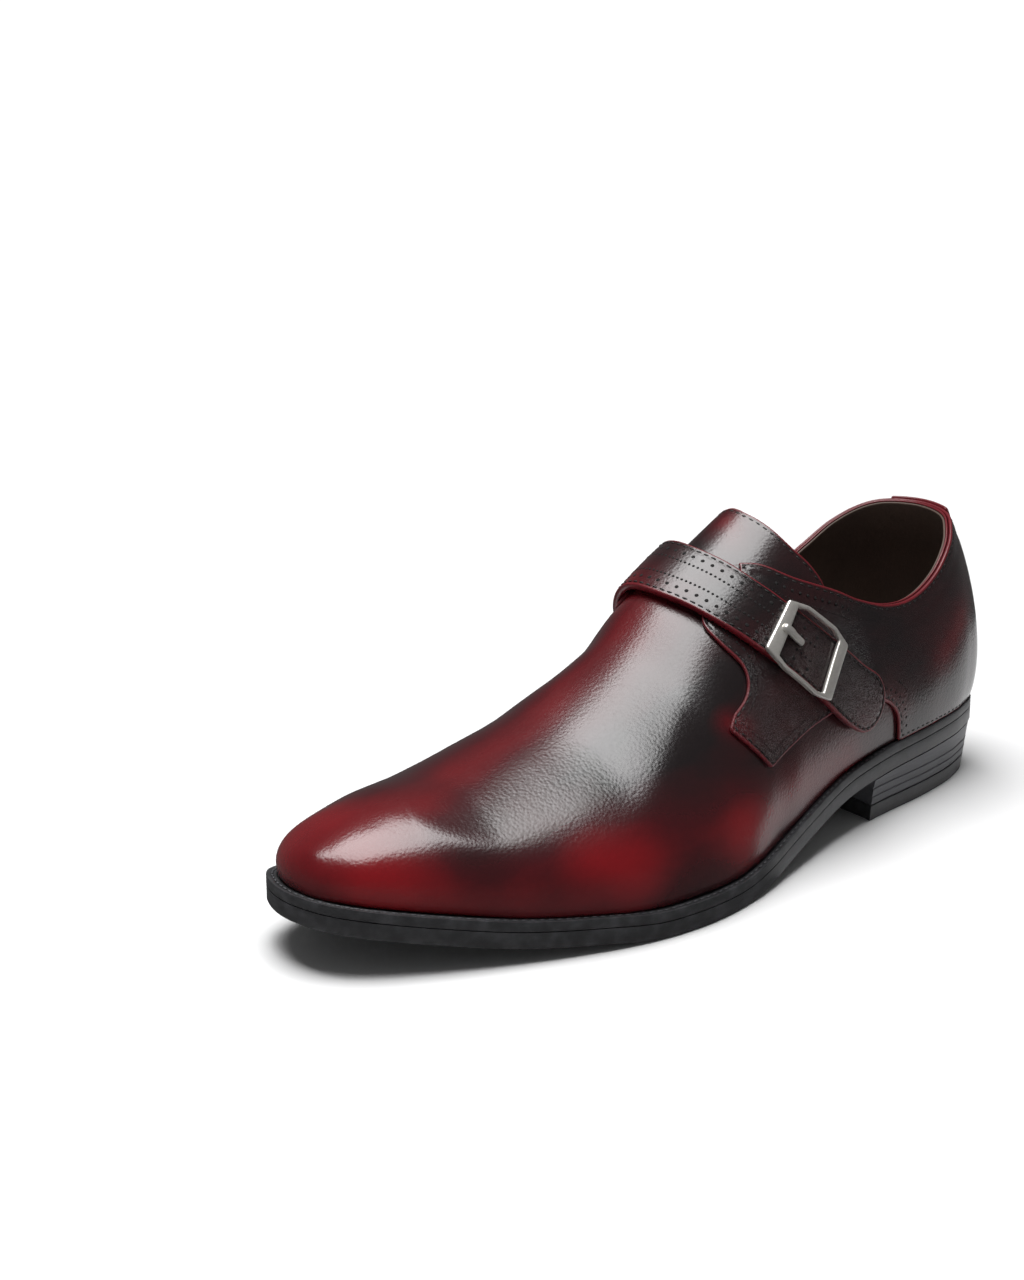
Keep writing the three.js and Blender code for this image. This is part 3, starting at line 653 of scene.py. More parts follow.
def close_up(mesh: bpy.types.Mesh) -> None:
    """Merges points that lie on each other and turns every face outwards.

    Args:
        mesh: the mesh to change; a warning says how many of its edges stay open.
    """
    work = bmesh.new()
    work.from_mesh(mesh)
    bmesh.ops.remove_doubles(work, verts=work.verts, dist=1e-6)
    bmesh.ops.recalc_face_normals(work, faces=work.faces)
    loose = sum(1 for edge in work.edges if not edge.is_manifold)
    if loose:
        log.warning("%s: %d edges are open", mesh.name, loose)
    work.to_mesh(mesh)
    work.free()


def dress(piece: bpy.types.Object, slot: str, *nodes: str) -> bpy.types.Object:
    """Ties a finished piece to the part.

    Args:
        piece: the finished object.
        slot: name of the record's material slot; not used.
        nodes: names of the solids that it stands for.

    Returns:
        The same object.
    """
    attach(piece, BODY)
    if nodes:
        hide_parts(*nodes)
    log.info("%s: %d faces", piece.name, len(piece.data.polygons))
    return piece


@dataclass(frozen=True)
class Rim:
    """How a panel's face falls off towards its cut edge: distances from the edge and drops below the face."""

    steps: Sequence[float] = (0.0, 0.14, 0.4, 0.85, 1.45, 2.05, 2.8)
    drops: Sequence[float] = (0.42, 0.15, 0.03, 0.04, 0.22, 0.03, 0.0)
    paint: float = 0.42

    def drop(self, distance: Array) -> Array:
        """Drop below the face at distances from the edge."""
        return np.interp(distance, self.steps, self.drops)


@dataclass(frozen=True)
class Trough:
    """A line that is pressed into a panel's face, such as a seam."""

    line: Array
    width: float
    depth: float

    def sink(self, laid: Array) -> Array:
        """Depth at laid out places."""
        return self.depth * np.exp(-((distance_to(laid, self.line, False) / self.width) ** 2))


@dataclass
class Panel:
    """A piece of leather: a loop laid out on a sheet, between two lifts."""

    sheet: "Sheet"
    loop: Array
    low: float
    high: float
    rim: Rim = field(default_factory=Rim)
    spacing: float = 1.9
    crown: float = 0.0
    troughs: Sequence[Trough] = ()

    def mesh(self) -> Skin:
        """Builds the panel with a rounded edge and a closed back.

        Returns:
            The panel's points and faces.
        """
        skin = Skin()
        laid, count = self.fill(self.rim.steps[1:], self.spacing)
        gap = distance_to(laid, self.loop)
        gap[:count] = 0
        puff = self.crown * (1 - np.exp(-((gap / 5.0) ** 2)))
        lift = self.high - self.rim.drop(gap) + puff
        for trough in self.troughs:
            lift = lift - trough.sink(laid)
        first = skin.add(self.sheet.on(laid, lift), np.clip((self.rim.paint + 0.35 - gap) / 0.35, 0, 1))
        self.cover(skin, laid, count, first)
        back, rim_count = self.fill((), 2.5 * self.spacing)
        base = skin.add(self.sheet.on(back, self.low), 1.0)
        self.cover(skin, back, rim_count, base)
        ring = np.arange(count)
        skin.band((base + ring).tolist(), (first + ring).tolist())
        return skin

    def fill(self, steps: Sequence[float], spacing: float) -> tuple[Array, int]:
        """Places points in the loop: rings beside its edge, then a staggered grid.

        Args:
            steps: distances of the rings from the edge.
            spacing: distance between the grid's points.

        Returns:
            Laid out places, the loop's own first, and the number of the loop's points.
        """
        inward = inward_of(self.loop)
        parts = [self.loop]
        reach = 0.0
        for step in steps:
            ring = (self.loop + inward * step)[:: 1 if step < 1 else 2]
            keep = inside(ring, self.loop) & (distance_to(ring, self.loop) > step * 0.96)
            parts.append(ring[keep])
            reach = step
        low, high = self.loop.min(0), self.loop.max(0)
        xs = np.arange(low[0], high[0], spacing)
        ys = np.arange(low[1], high[1], spacing * 0.87)
        grid = np.stack(np.meshgrid(xs, ys), axis=-1)
        grid[1::2, :, 0] += spacing / 2
        grid = grid.reshape(-1, 2)
        grid = grid[inside(grid, self.loop)]
        grid = grid[distance_to(grid, self.loop) > reach + spacing * 0.6]
        parts.append(grid)
        return np.vstack(parts), len(self.loop)

    def offset(self, distance: float, start: float = 0.0, end: float = 1.0) -> Array:
        """A line inside the panel that follows its edge.

        Args:
            distance: distance from the edge.
            start: share round the loop at which the line starts.
            end: share round the loop at which it ends.

        Returns:
            Laid out places.
        """
        count = len(self.loop)
        line = (self.loop + inward_of(self.loop) * distance)[int(start * count) : int(end * count)]
        keep = inside(line, self.loop) & (distance_to(line, self.loop) > 0.93 * distance)
        return line[keep]

    @staticmethod
    def cover(skin: Skin, laid: Array, count: int, first: int) -> None:
        """Adds the triangles between laid out places.

        Args:
            skin: piece to add to.
            laid: the places.
            count: how many of the first places are the loop.
            first: number of the first place in the piece.
        """
        rim = [(i, (i + 1) % count) for i in range(count)]
        made = delaunay_2d_cdt([tuple(p) for p in laid.tolist()], rim, [], 1, 1e-5)
        origin = [group[0] if group else -1 for group in made[3]]
        if -1 in origin:
            log.warning("a loop crosses itself at %d places", origin.count(-1))
        skin.faces.extend(tuple(first + origin[k] for k in face) for face in made[2])


# Shader and geometry graphs


class Wire:
    """A socket of a graph, with Python's operators for maths on values."""

    def __init__(self, graph: "Graph", socket: bpy.types.NodeSocket) -> None:
        """Wraps an output socket."""
        self.graph = graph
        self.socket = socket

    def __add__(self, other: Any) -> "Wire":
        """Sum."""
        return self.graph.math("ADD", self, other)

    __radd__ = __add__

    def __sub__(self, other: Any) -> "Wire":
        """Difference."""
        return self.graph.math("SUBTRACT", self, other)

    def __rsub__(self, other: Any) -> "Wire":
        """Difference from a number."""
        return self.graph.math("SUBTRACT", other, self)

    def __mul__(self, other: Any) -> "Wire":
        """Product."""
        return self.graph.math("MULTIPLY", self, other)

    __rmul__ = __mul__

    def __neg__(self) -> "Wire":
        """Opposite."""
        return self.graph.math("MULTIPLY", self, -1.0)

    def clamp(self) -> "Wire":
        """The value held between 0 and 1."""
        return self.graph.math("ADD", self, 0.0, clamp=True)

    def between(self, low: float, high: float) -> "Wire":
        """A smooth step from 0 at low to 1 at high."""
        node = self.graph.node(
            "ShaderNodeMapRange",
            {"interpolation_type": "SMOOTHSTEP"},
            {"Value": self, "From Min": low, "From Max": high},
        )
        return self.graph.out(node, "Result")


class Graph:
    """A node tree with short ways to add and join nodes."""

    def __init__(self, tree: bpy.types.NodeTree) -> None:
        """Takes an empty tree."""
        self.tree = tree

    def node(
        self, kind: str, settings: dict[str, Any] | None = None, inputs: dict[Any, Any] | None = None
    ) -> bpy.types.Node:
        """Adds a node.

        Args:
            kind: Blender's name of the node type.
            settings: the node's own settings, set first; stops are a ramp's places and colours.
            inputs: values or wires by socket name or number.

        Returns:
            The node.
        """
        made = self.tree.nodes.new(kind)
        for key, value in (settings or {}).items():
            if key == "stops":
                self.stops(made, value)
            else:
                setattr(made, key, value)
        feed(self, made, inputs or {})
        return made

    @staticmethod
    def stops(made: bpy.types.Node, stops: Sequence[tuple[float, Sequence[float]]]) -> None:
        """Sets a ramp's places and colours."""
        ramp = made.color_ramp
        while len(ramp.elements) < len(stops):
            ramp.elements.new(1.0)
        for element, (place, colour) in zip(ramp.elements, stops):
            element.position = place
            element.color = (*colour[:3], 1.0)

    @staticmethod
    def find(sockets: Any, key: Any) -> bpy.types.NodeSocket:
        """The socket of that number, or the first shown one of that name."""
        if isinstance(key, int):
            return sockets[key]
        return next(socket for socket in sockets if socket.name == key and socket.enabled)

    def out(self, node: bpy.types.Node, key: Any = 0) -> Wire:
        """An output of a node as a wire."""
        return Wire(self, self.find(node.outputs, key))

    def math(self, operation: str, first: Any, second: Any, clamp: bool = False) -> Wire:
        """Maths on two values."""
        settings = {"operation": operation, "use_clamp": clamp}
        return self.out(self.node("ShaderNodeMath", settings, {0: first, 1: second}))

    def mix(self, share: Any, first: Any, second: Any) -> Wire:
        """A colour between two, by a share."""
        node = self.node("ShaderNodeMix", {"data_type": "RGBA"}, {0: share, 6: first, 7: second})
        return self.out(node, 2)

    def place(self, scale: Sequence[float] = (1, 1, 1), turn: Sequence[float] = (0, 0, 0)) -> Wire:
        """Object coordinates, stretched and turned."""
        coordinates = self.out(self.node("ShaderNodeTexCoord"), "Object")
        inputs = {"Vector": coordinates, "Scale": scale, "Rotation": turn}
        return self.out(self.node("ShaderNodeMapping", None, inputs), "Vector")

    def noise(self, place: Wire, size: float, detail: float = 3.0, rough: float = 0.55) -> Wire:
        """Cloudy noise with features of a size in millimetres."""
        inputs = {"Vector": place, "Scale": 1.0 / (size * MM), "Detail": detail, "Roughness": rough}
        return self.out(self.node("ShaderNodeTexNoise", None, inputs), 0)

    def cells(self, place: Wire, size: float) -> Wire:
        """Rounded cells of a size in millimetres, low at their borders."""
        inputs = {"Vector": place, "Scale": 1.0 / (size * MM), "Smoothness": 0.6}
        node = self.node("ShaderNodeTexVoronoi", {"feature": "SMOOTH_F1"}, inputs)
        return 1.0 - self.out(node, "Distance")

    def named(self, name: str) -> Wire:
        """A value stored on the mesh."""
        return self.out(self.node("ShaderNodeAttribute", {"attribute_name": name}), "Fac")

    def bump(self, height: Wire, depth: float) -> Wire:
        """A normal from a height of 0 to 1, for a depth in millimetres."""
        inputs = {"Height": height, "Distance": depth * MM, "Strength": 1.0}
        return self.out(self.node("ShaderNodeBump", None, inputs), "Normal")


def tint(red: float, green: float, blue: float) -> tuple[float, float, float, float]:
    """A colour from its 0 to 255 values on screen."""
    linear = [((c / 255 + 0.055) / 1.055) ** 2.4 if c > 10 else c / 255 / 12.92 for c in (red, green, blue)]
    return (*linear, 1.0)


def new_material(name: str) -> tuple[bpy.types.Material, Graph, bpy.types.Node]:
    """Starts a material.

    Args:
        name: its name.

    Returns:
        The material, its graph and its surface shader.
    """
    material = bpy.data.materials.new(name)
    material.use_nodes = True
    material.node_tree.nodes.clear()
    graph = Graph(material.node_tree)
    surface = graph.node("ShaderNodeBsdfPrincipled")
    graph.node("ShaderNodeOutputMaterial", None, {"Surface": graph.out(surface)})
    return material, graph, surface


def feed(graph: Graph, made: bpy.types.Node, inputs: dict[Any, Any]) -> None:
    """Sets or links sockets of a node.

    Args:
        graph: the node's graph.
        made: the node.
        inputs: values or wires by socket name or number.
    """
    for key, value in inputs.items():
        socket = graph.find(made.inputs, key)
        if isinstance(value, Wire):
            graph.tree.links.new(value.socket, socket)
        else:
            socket.default_value = value


@dataclass(frozen=True)
class BurnishedLeather:
    """Dyed calf, brushed nearly black in places and polished, with painted cut edges."""

    name: str
    bright: tuple[float, ...] = tint(118, 13, 20)
    middle: tuple[float, ...] = tint(60, 12, 17)
    dark: tuple[float, ...] = tint(23, 17, 18)
    paint: tuple[float, ...] = tint(104, 18, 28)
    pebble: float = 1.05
    pebble_depth: float = 0.055
    coarse_depth: float = 0.15
    gloss: float = 0.2

    def build(self) -> bpy.types.Material:
        """Makes the material."""
        material, graph, surface = new_material(self.name)
        place = graph.place()
        clouds = graph.noise(graph.place((1.0, 0.55, 1.0)), 26.0, 2.0, 0.5)
        brushing = graph.noise(graph.place((1.0, 0.4, 1.0), (0.0, 0.0, 0.35)), 8.0, 2.0, 0.5)
        fine = graph.noise(place, 1.4, 2.0, 0.5)
        wine = graph.named("wine") + (clouds - 0.5) * 0.3 + (brushing - 0.5) * 0.14 + (fine - 0.5) * 0.03
        ramp = graph.node(
            "ShaderNodeValToRGB",
            {"stops": [(0.12, self.dark), (0.45, self.middle), (0.92, self.bright)]},
            {"Fac": wine.clamp()},
        )
        edge = graph.named("edge")
        scuffed = (edge * (0.8 + 0.6 * (graph.noise(place, 3.0) - 0.5))).clamp()
        colour = graph.mix(scuffed, graph.out(ramp, "Color"), self.paint)
        pores = graph.cells(place, self.pebble)
        height = pores * 0.65 + graph.noise(place, self.pebble * 0.6, 2.0) * 0.35
        stamped = graph.noise(place, 0.5, 2.0, 0.6).between(0.45, 0.65) * self.stamped_zone(graph, place)
        height = height + stamped * (self.coarse_depth / self.pebble_depth)
        feed(graph, surface, {
            "Base Color": colour,
            "Roughness": self.gloss + 0.1 * (clouds - 0.5) + 0.07 * fine + 0.12 * edge,
            "Normal": graph.bump(height, self.pebble_depth),
            "Specular IOR Level": 0.5,
        })
        return material

    @staticmethod
    def stamped_zone(graph: Graph, place: Wire) -> Wire:
        """Where the leather is stamped coarser: both sides, by the strap's end and the quarter's front."""
        parts = graph.node("ShaderNodeSeparateXYZ", None, {"Vector": place})
        aside = graph.math("ABSOLUTE", graph.out(parts, "X"), 0.0).between(27.0 * MM, 34.0 * MM)
        ahead = graph.out(parts, "Y").between(-38.0 * MM, -58.0 * MM)
        return aside * ahead * graph.named("stamp")


@dataclass(frozen=True)
class Lining:
    """Brown lining leather, matt and softly creased."""

    name: str = "lining_leather"
    light: tuple[float, ...] = tint(88, 70, 60)
    dark: tuple[float, ...] = tint(56, 44, 38)

    def build(self) -> bpy.types.Material:
        """Makes the material."""
        material, graph, surface = new_material(self.name)
        place = graph.place()
        clouds = graph.noise(place, 18.0, 3.0)
        grain = graph.noise(place, 0.9, 2.0)
        colour = graph.mix((clouds * 0.8 + grain * 0.3).clamp(), self.dark, self.light)
        height = grain * 0.5 + graph.noise(graph.place((1, 1, 0.35)), 8.0) * 0.5
        feed(graph, surface, {
            "Base Color": colour,
            "Roughness": 0.55 + 0.15 * clouds,
            "Normal": graph.bump(height, 0.12),
        })
        return material


@dataclass(frozen=True)
class SoleRubber:
    """Black satin rubber, faintly mottled, with fine ribs where the sole meets the ground."""

    name: str = "sole_rubber"
    colour: tuple[float, ...] = tint(40, 40, 42)
    worn: tuple[float, ...] = tint(60, 60, 63)
    rib: float = 3.2

    def build(self) -> bpy.types.Material:
        """Makes the material."""
        material, graph, surface = new_material(self.name)
        place = graph.place()
        mottle = graph.noise(place, 5.0, 4.0)
        speck = graph.noise(place, 0.7, 2.0)
        inputs = {"Vector": place, "Scale": WAVE_STEP / self.rib}
        wave = graph.node("ShaderNodeTexWave", {"bands_direction": "Y"}, inputs)
        tread = graph.named("edge") * graph.out(wave, "Fac")
        feed(graph, surface, {
            "Base Color": graph.mix(mottle.between(0.35, 0.8), self.colour, self.worn),
            "Roughness": 0.36 + 0.16 * mottle,
            "Normal": graph.bump(speck * 0.12 + mottle * 0.08 + tread, 0.3),
        })
        return material


@dataclass(frozen=True)
class HeelStack:
    """Charcoal heel lifts, edge inked, with hair lines between the layers."""

    name: str = "heel_stack"
    colour: tuple[float, ...] = tint(54, 54, 58)
    worn: tuple[float, ...] = tint(76, 76, 81)

    def build(self) -> bpy.types.Material:
        """Makes the material."""
        material, graph, surface = new_material(self.name)
        lines = graph.noise(graph.place((0.05, 0.05, 1.0)), 0.8, 3.0, 0.7)
        soft = graph.noise(graph.place(), 9.0)
        share = (lines * 0.6 + soft * 0.5 - 0.1).clamp()
        feed(graph, surface, {
            "Base Color": graph.mix(share, self.colour, self.worn),
            "Roughness": 0.38 + 0.15 * soft,
            "Normal": graph.bump(lines, 0.06),
        })
        return material


@dataclass(frozen=True)
class BrushedNickel:
    """Buckle metal, brushed along its bars and a little worn."""

    name: str = "brushed_nickel"
    light: tuple[float, ...] = tint(226, 223, 217)
    dark: tuple[float, ...] = tint(176, 172, 167)

    def build(self) -> bpy.types.Material:
        """Makes the material."""
        material, graph, surface = new_material(self.name)
        brush = graph.noise(graph.place((1.0, 0.12, 1.0), (0.5, 0.3, 0.6)), 0.35, 3.0)
        haze = graph.noise(graph.place(), 3.0)
        feed(graph, surface, {
            "Base Color": graph.mix((0.5 * brush + 0.6 * haze).clamp(), self.dark, self.light),
            "Metallic": 0.72 + 0.1 * brush,
            "Roughness": 0.24 + 0.16 * brush,
            "Normal": graph.bump(brush, 0.02),
        })
        return material


@dataclass(frozen=True)
class Thread:
    """Waxed thread, twisted; also the punched holes, whose near-black colour is painted shade inside the hole.
    """

    name: str
    colour: tuple[float, ...]
    rough: float = 0.5

    def build(self) -> bpy.types.Material:
        """Makes the material."""
        material, graph, surface = new_material(self.name)
        twist = graph.noise(graph.place(turn=(0.4, 0.7, 0.2)), 0.3, 2.0)
        deeper = tuple(0.5 * c for c in self.colour[:3]) + (1.0,)
        feed(graph, surface, {
            "Base Color": graph.mix(twist, deeper, self.colour),
            "Roughness": self.rough,
            "Normal": graph.bump(twist, 0.04),
        })
        return material


@dataclass(frozen=True)
class PaleFloor:
    """Plain white studio floor that is as bright far away as it is near the shoe."""

    name: str = "pale_floor"
    colour: tuple[float, ...] = (0.8, 0.8, 0.803, 1.0)
    pale: tuple[float, ...] = (0.9, 0.9, 0.9, 1.0)
    near: float = 0.3
    far: float = 1.0

    def build(self) -> bpy.types.Material:
        """Makes the material."""
        material, graph, surface = new_material(self.name)
        coordinates = graph.out(graph.node("ShaderNodeTexCoord"), "Object")
        measure = graph.node("ShaderNodeVectorMath", {"operation": "LENGTH"}, {0: coordinates})
        length = graph.out(measure, "Value")
        away = length.between(self.near, self.far)
        feed(graph, surface, {
            "Base Color": graph.mix(length.between(0.0, self.far), self.colour, self.pale),
            "Roughness": 0.9,
            "Specular IOR Level": 0.0,
            "Emission Color": graph.mix(away, (0.0, 0.0, 0.0, 1.0), (1.0, 1.0, 1.0, 1.0)),
            "Emission Strength": 1.0,
        })
        return material


@dataclass
class Repeats:
    """Small shapes set out evenly along lines on the leather: stitches or punched holes."""

    name: str
    material: bpy.types.Material
    spacing: float
    length: float
    width: float
    height: float
    wobble: float = 4.0
    seed: int = 7
    lines: list[tuple[Array, Array, bool]] = field(default_factory=list)

    def add(self, sheet: "Sheet", laid: Array, lift: Any, closed: bool = False) -> None:
        """Adds a line over a sheet.

        Args:
            sheet: the sheet that the places are laid out on.
            laid: the line's places.
            lift: height of the line over the last.
            closed: True for a loop.
        """
        self.lines.append((sheet.on(laid, lift), sheet.normals(laid), closed))

    def paths(self) -> bpy.types.Object:
        """Makes one mesh of edges from all lines, with the way up stored on its points."""
        points, normals, edges = [], [], []
        for line, up, closed in self.lines:
            first = len(points)
            points.extend((line * MM).tolist())
            normals.extend(up.tolist())
            count = len(line)
            edges.extend((first + i, first + i + 1) for i in range(count - 1))
            if closed:
                edges.append((first + count - 1, first))
        mesh = bpy.data.meshes.new(self.name + "_lines")
        mesh.from_pydata(points, edges, [])
        layer = mesh.attributes.new("up", "FLOAT_VECTOR", "POINT")
        layer.data.foreach_set("vector", np.asarray(normals, np.float32).ravel())
        piece = bpy.data.objects.new(self.name + "_lines", mesh)
        bpy.context.collection.objects.link(piece)
        return piece

    def build(self) -> bpy.types.Object:
        """Sets the shapes out and makes them one plain mesh.

        Returns:
            The finished object.
        """
        source = self.paths()
        modifier = source.modifiers.new("set out", "NODES")
        modifier.node_group = set_out_tree()
        values = {
            "Spacing": self.spacing * MM, "Length": self.length * MM, "Width": self.width * MM,
            "Height": self.height * MM, "Wobble": math.radians(self.wobble), "Seed": self.seed,
            "Material": self.material,
        }
        for item in modifier.node_group.interface.items_tree:
            if item.item_type == "SOCKET" and item.in_out == "INPUT" and item.name in values:
                modifier[item.identifier] = values[item.name]
        source.update_tag()
        graph = bpy.context.evaluated_depsgraph_get()
        mesh = bpy.data.meshes.new_from_object(source.evaluated_get(graph))
        mesh.name = self.name
        bpy.data.objects.remove(source)
        piece = bpy.data.objects.new(self.name, mesh)
        bpy.context.collection.objects.link(piece)
        return piece


def set_out_tree() -> bpy.types.NodeTree:
    """The geometry graph that sets small rounded shapes out along lines.

    Returns:
        The node group, made once.
    """
    name = "set out along lines"
    if name in bpy.data.node_groups:
        return bpy.data.node_groups[name]
    tree = bpy.data.node_groups.new(name, "GeometryNodeTree")
    sockets = {
        "Geometry": "NodeSocketGeometry", "Spacing": "NodeSocketFloat", "Length": "NodeSocketFloat",
        "Width": "NodeSocketFloat", "Height": "NodeSocketFloat", "Wobble": "NodeSocketFloat",
        "Seed": "NodeSocketInt", "Material": "NodeSocketMaterial",
    }
    for key, kind in sockets.items():
        tree.interface.new_socket(name=key, in_out="INPUT", socket_type=kind)
    tree.interface.new_socket(name="Geometry", in_out="OUTPUT", socket_type="NodeSocketGeometry")
    graph = Graph(tree)
    given = graph.node("NodeGroupInput")
    take = lambda key: graph.out(given, key)
    curve = graph.out(graph.node("GeometryNodeMeshToCurve", None, {"Mesh": take("Geometry")}))
    inputs = {"Curve": curve, "Length": take("Spacing")}
    even = graph.node("GeometryNodeResampleCurve", {"mode": "LENGTH"}, inputs)
    shape = graph.node("GeometryNodeMeshUVSphere", None, {"Segments": 8, "Rings": 4, "Radius": 0.5})
    tangent = graph.out(graph.node("GeometryNodeInputTangent"))
    up = graph.node("GeometryNodeInputNamedAttribute", {"data_type": "FLOAT_VECTOR"}, {"Name": "up"})
    along = graph.node("FunctionNodeAlignRotationToVector", {"axis": "X"}, {"Vector": tangent})
    level = graph.node(
        "FunctionNodeAlignRotationToVector",
        {"axis": "Z", "pivot_axis": "X"},
        {"Rotation": graph.out(along), "Vector": graph.out(up, "Attribute")},
    )
    wobble = take("Wobble")
    inputs = {"Min": -wobble, "Max": wobble, "Seed": take("Seed")}
    chance = graph.node("FunctionNodeRandomValue", {"data_type": "FLOAT"}, inputs)
    swing = graph.node("ShaderNodeCombineXYZ", None, {"Z": graph.out(chance, "Value")})
    turned = graph.node(
        "FunctionNodeRotateRotation", {"rotation_space": "LOCAL"}, {0: graph.out(level), 1: graph.out(swing)}
    )
    inputs = {"X": take("Length"), "Y": take("Width"), "Z": take("Height")}
    size = graph.node("ShaderNodeCombineXYZ", None, inputs)
    inputs = {
        "Points": graph.out(even), "Instance": graph.out(shape, "Mesh"),
        "Rotation": graph.out(turned), "Scale": graph.out(size),
    }
    placed = graph.node("GeometryNodeInstanceOnPoints", None, inputs)
    real = graph.node("GeometryNodeRealizeInstances", None, {"Geometry": graph.out(placed)})
    smooth = graph.node("GeometryNodeSetShadeSmooth", None, {"Geometry": graph.out(real)})
    painted = graph.node(
        "GeometryNodeSetMaterial", None, {"Geometry": graph.out(smooth), "Material": take("Material")}
    )
    graph.node("NodeGroupOutput", None, {"Geometry": graph.out(painted)})
    return tree


# Sheets that leather is laid out on


class Sheet:
    """A surface that leather is laid out on, flat and nearly true to size."""

    def on(self, laid: Array, lift: Any) -> Array:
        """Points over laid out places, at a lift."""
        raise NotImplementedError

    def normals(self, laid: Array) -> Array:
        """Directions straight off the surface."""
        return unit(self.on(laid, 1.0) - self.on(laid, 0.0))


@dataclass
class LastSheet(Sheet):
    """The last itself, by one of its charts."""

    last: Last
    chart: Chart

    def on(self, laid: Array, lift: Any) -> Array:
        """Points over laid out places, at a lift."""
        return self.last.on(self.chart, laid, lift)


@dataclass
class StrapSheet(Sheet):
    """The strap's own run over the last: distance along it, and distance from its middle."""

    last: Last
    route: Rows = (
        (0.43, -0.67), (0.45, -0.53), (0.468, -0.29), (0.478, 0), (0.47, 0.22),
        (0.455, 0.385), (0.435, 0.525), (0.41, 0.66), (0.38, 0.785), (0.345, 0.87),
    )
    steps: int = 6

    def __post_init__(self) -> None:
        """Measures the middle line."""
        self.line = spline(self.route, 360)
        points = self.last.place(Chart.OVER, self.line[:, 0], self.line[:, 1])
        self.run = np.concatenate([[0], np.cumsum(np.linalg.norm(np.diff(points, axis=0), axis=1))])
        self.length = self.run[-1]

    def middle(self, distance: Array) -> tuple[Array, Array]:
        """Station and place across of the middle line at a distance."""
        return tuple(np.interp(distance, self.run, self.line[:, k]) for k in (0, 1))

    def on(self, laid: Array, lift: Any) -> Array:
        """Points over the strap's run, walked out from its middle line in small steps.

        Args:
            laid: rows of distance along the strap and distance from its middle.
            lift: height over the last.

        Returns:
            Points, one row each.
        """
        distance, sideways = laid[:, 0], laid[:, 1]
        over = Chart.OVER
        ahead = self.last.place(over, *self.middle(distance + 1))
        heading = ahead - self.last.place(over, *self.middle(distance - 1))
        u, v = self.middle(distance)
        cross = unit(np.cross(self.last.grain(over, u, v)[2], heading))
        for _ in range(self.steps):
            du, dv, normal = self.last.grain(over, u, v)
            flat = unit(cross - normal * (cross * normal).sum(1)[:, None]) * (sideways / self.steps)[:, None]
            aa, ab, bb = (du * du).sum(1), (du * dv).sum(1), (dv * dv).sum(1)
            ra, rb = (du * flat).sum(1), (dv * flat).sum(1)
            det = aa * bb - ab * ab
            u = u + (ra * bb - rb * ab) / det
            v = v + (rb * aa - ra * ab) / det
        return self.last.lifted(over, u, v, lift)


@dataclass(frozen=True)
class Dye:
    """Where the leather is bright wine and where it is brushed dark, as soft spots in millimetres."""

    base: float = 0.18
    # Start and end of the spot, each along from the heel, across and up; its reach; its strength
    rows: Rows = (
        (298, -16, 32, 290, 10, 34, 21, 0.5),
        (280, -12, 42, 262, 2, 46, 14, 0.34),
        (290, 20, 22, 215, 50, 20, 15, 0.5),
        (223, 46, 30, 165, 54, 24, 14, 0.3),
        (165, 52, 24, 95, 42, 30, 13, 0.4),
        (263, 29, 32, 257, 32, 29, 8, -0.14),
        (240, 42, 24, 228, 49, 20, 8, -0.14),
        (236, -2, 50, 158, -7, 82, 17, 0.44),
        (200, 30, 52, 150, 30, 68, 11, -0.12),
        (285, -38, 20, 180, -46, 24, 15, 0.45),
        (180, -46, 24, 110, -34, 30, 13, 0.4),
        (158, 38, 56, 154, 39, 53, 5, 0.4),
        (41, 33, 52, 27, 30, 62, 9, 0.36),
        (74, 35, 44, 66, 35, 38, 7, 0.24),
        (44, -30, 62, 62, -30, 56, 15, 0.36),
        (4, 0, 58, 6, 4, 82, 11, 0.2),
        (152, -24, 86, 149, -20, 92, 8, 0.26),
        (114, -6, 109, 121, 3, 108, 7, 0.42),
    )

    def __call__(self, points: Array) -> Array:
        """Brightness of the dye.

        Args:
            points: points of the shoe in millimetres.

        Returns:
            0 for dark to 1 for bright at each point.
        """
        value = np.full(len(points), self.base)
        spot = points * (1, -1, 1) + (0, Last.heel_length / 2, 0)
        for row in self.rows:
            start, end = (np.asarray((row[k + 1], row[k], row[k + 2]), float) for k in (0, 3))
            leg = end - start
            t = np.clip(((spot - start) @ leg) / max(leg @ leg, 1e-9), 0, 1)
            off = np.linalg.norm(spot - start - t[:, None] * leg, axis=1)
            value += row[7] * np.exp(-((off / row[6]) ** 2))
        return np.clip(value, 0, 1)


# The shoe's parts


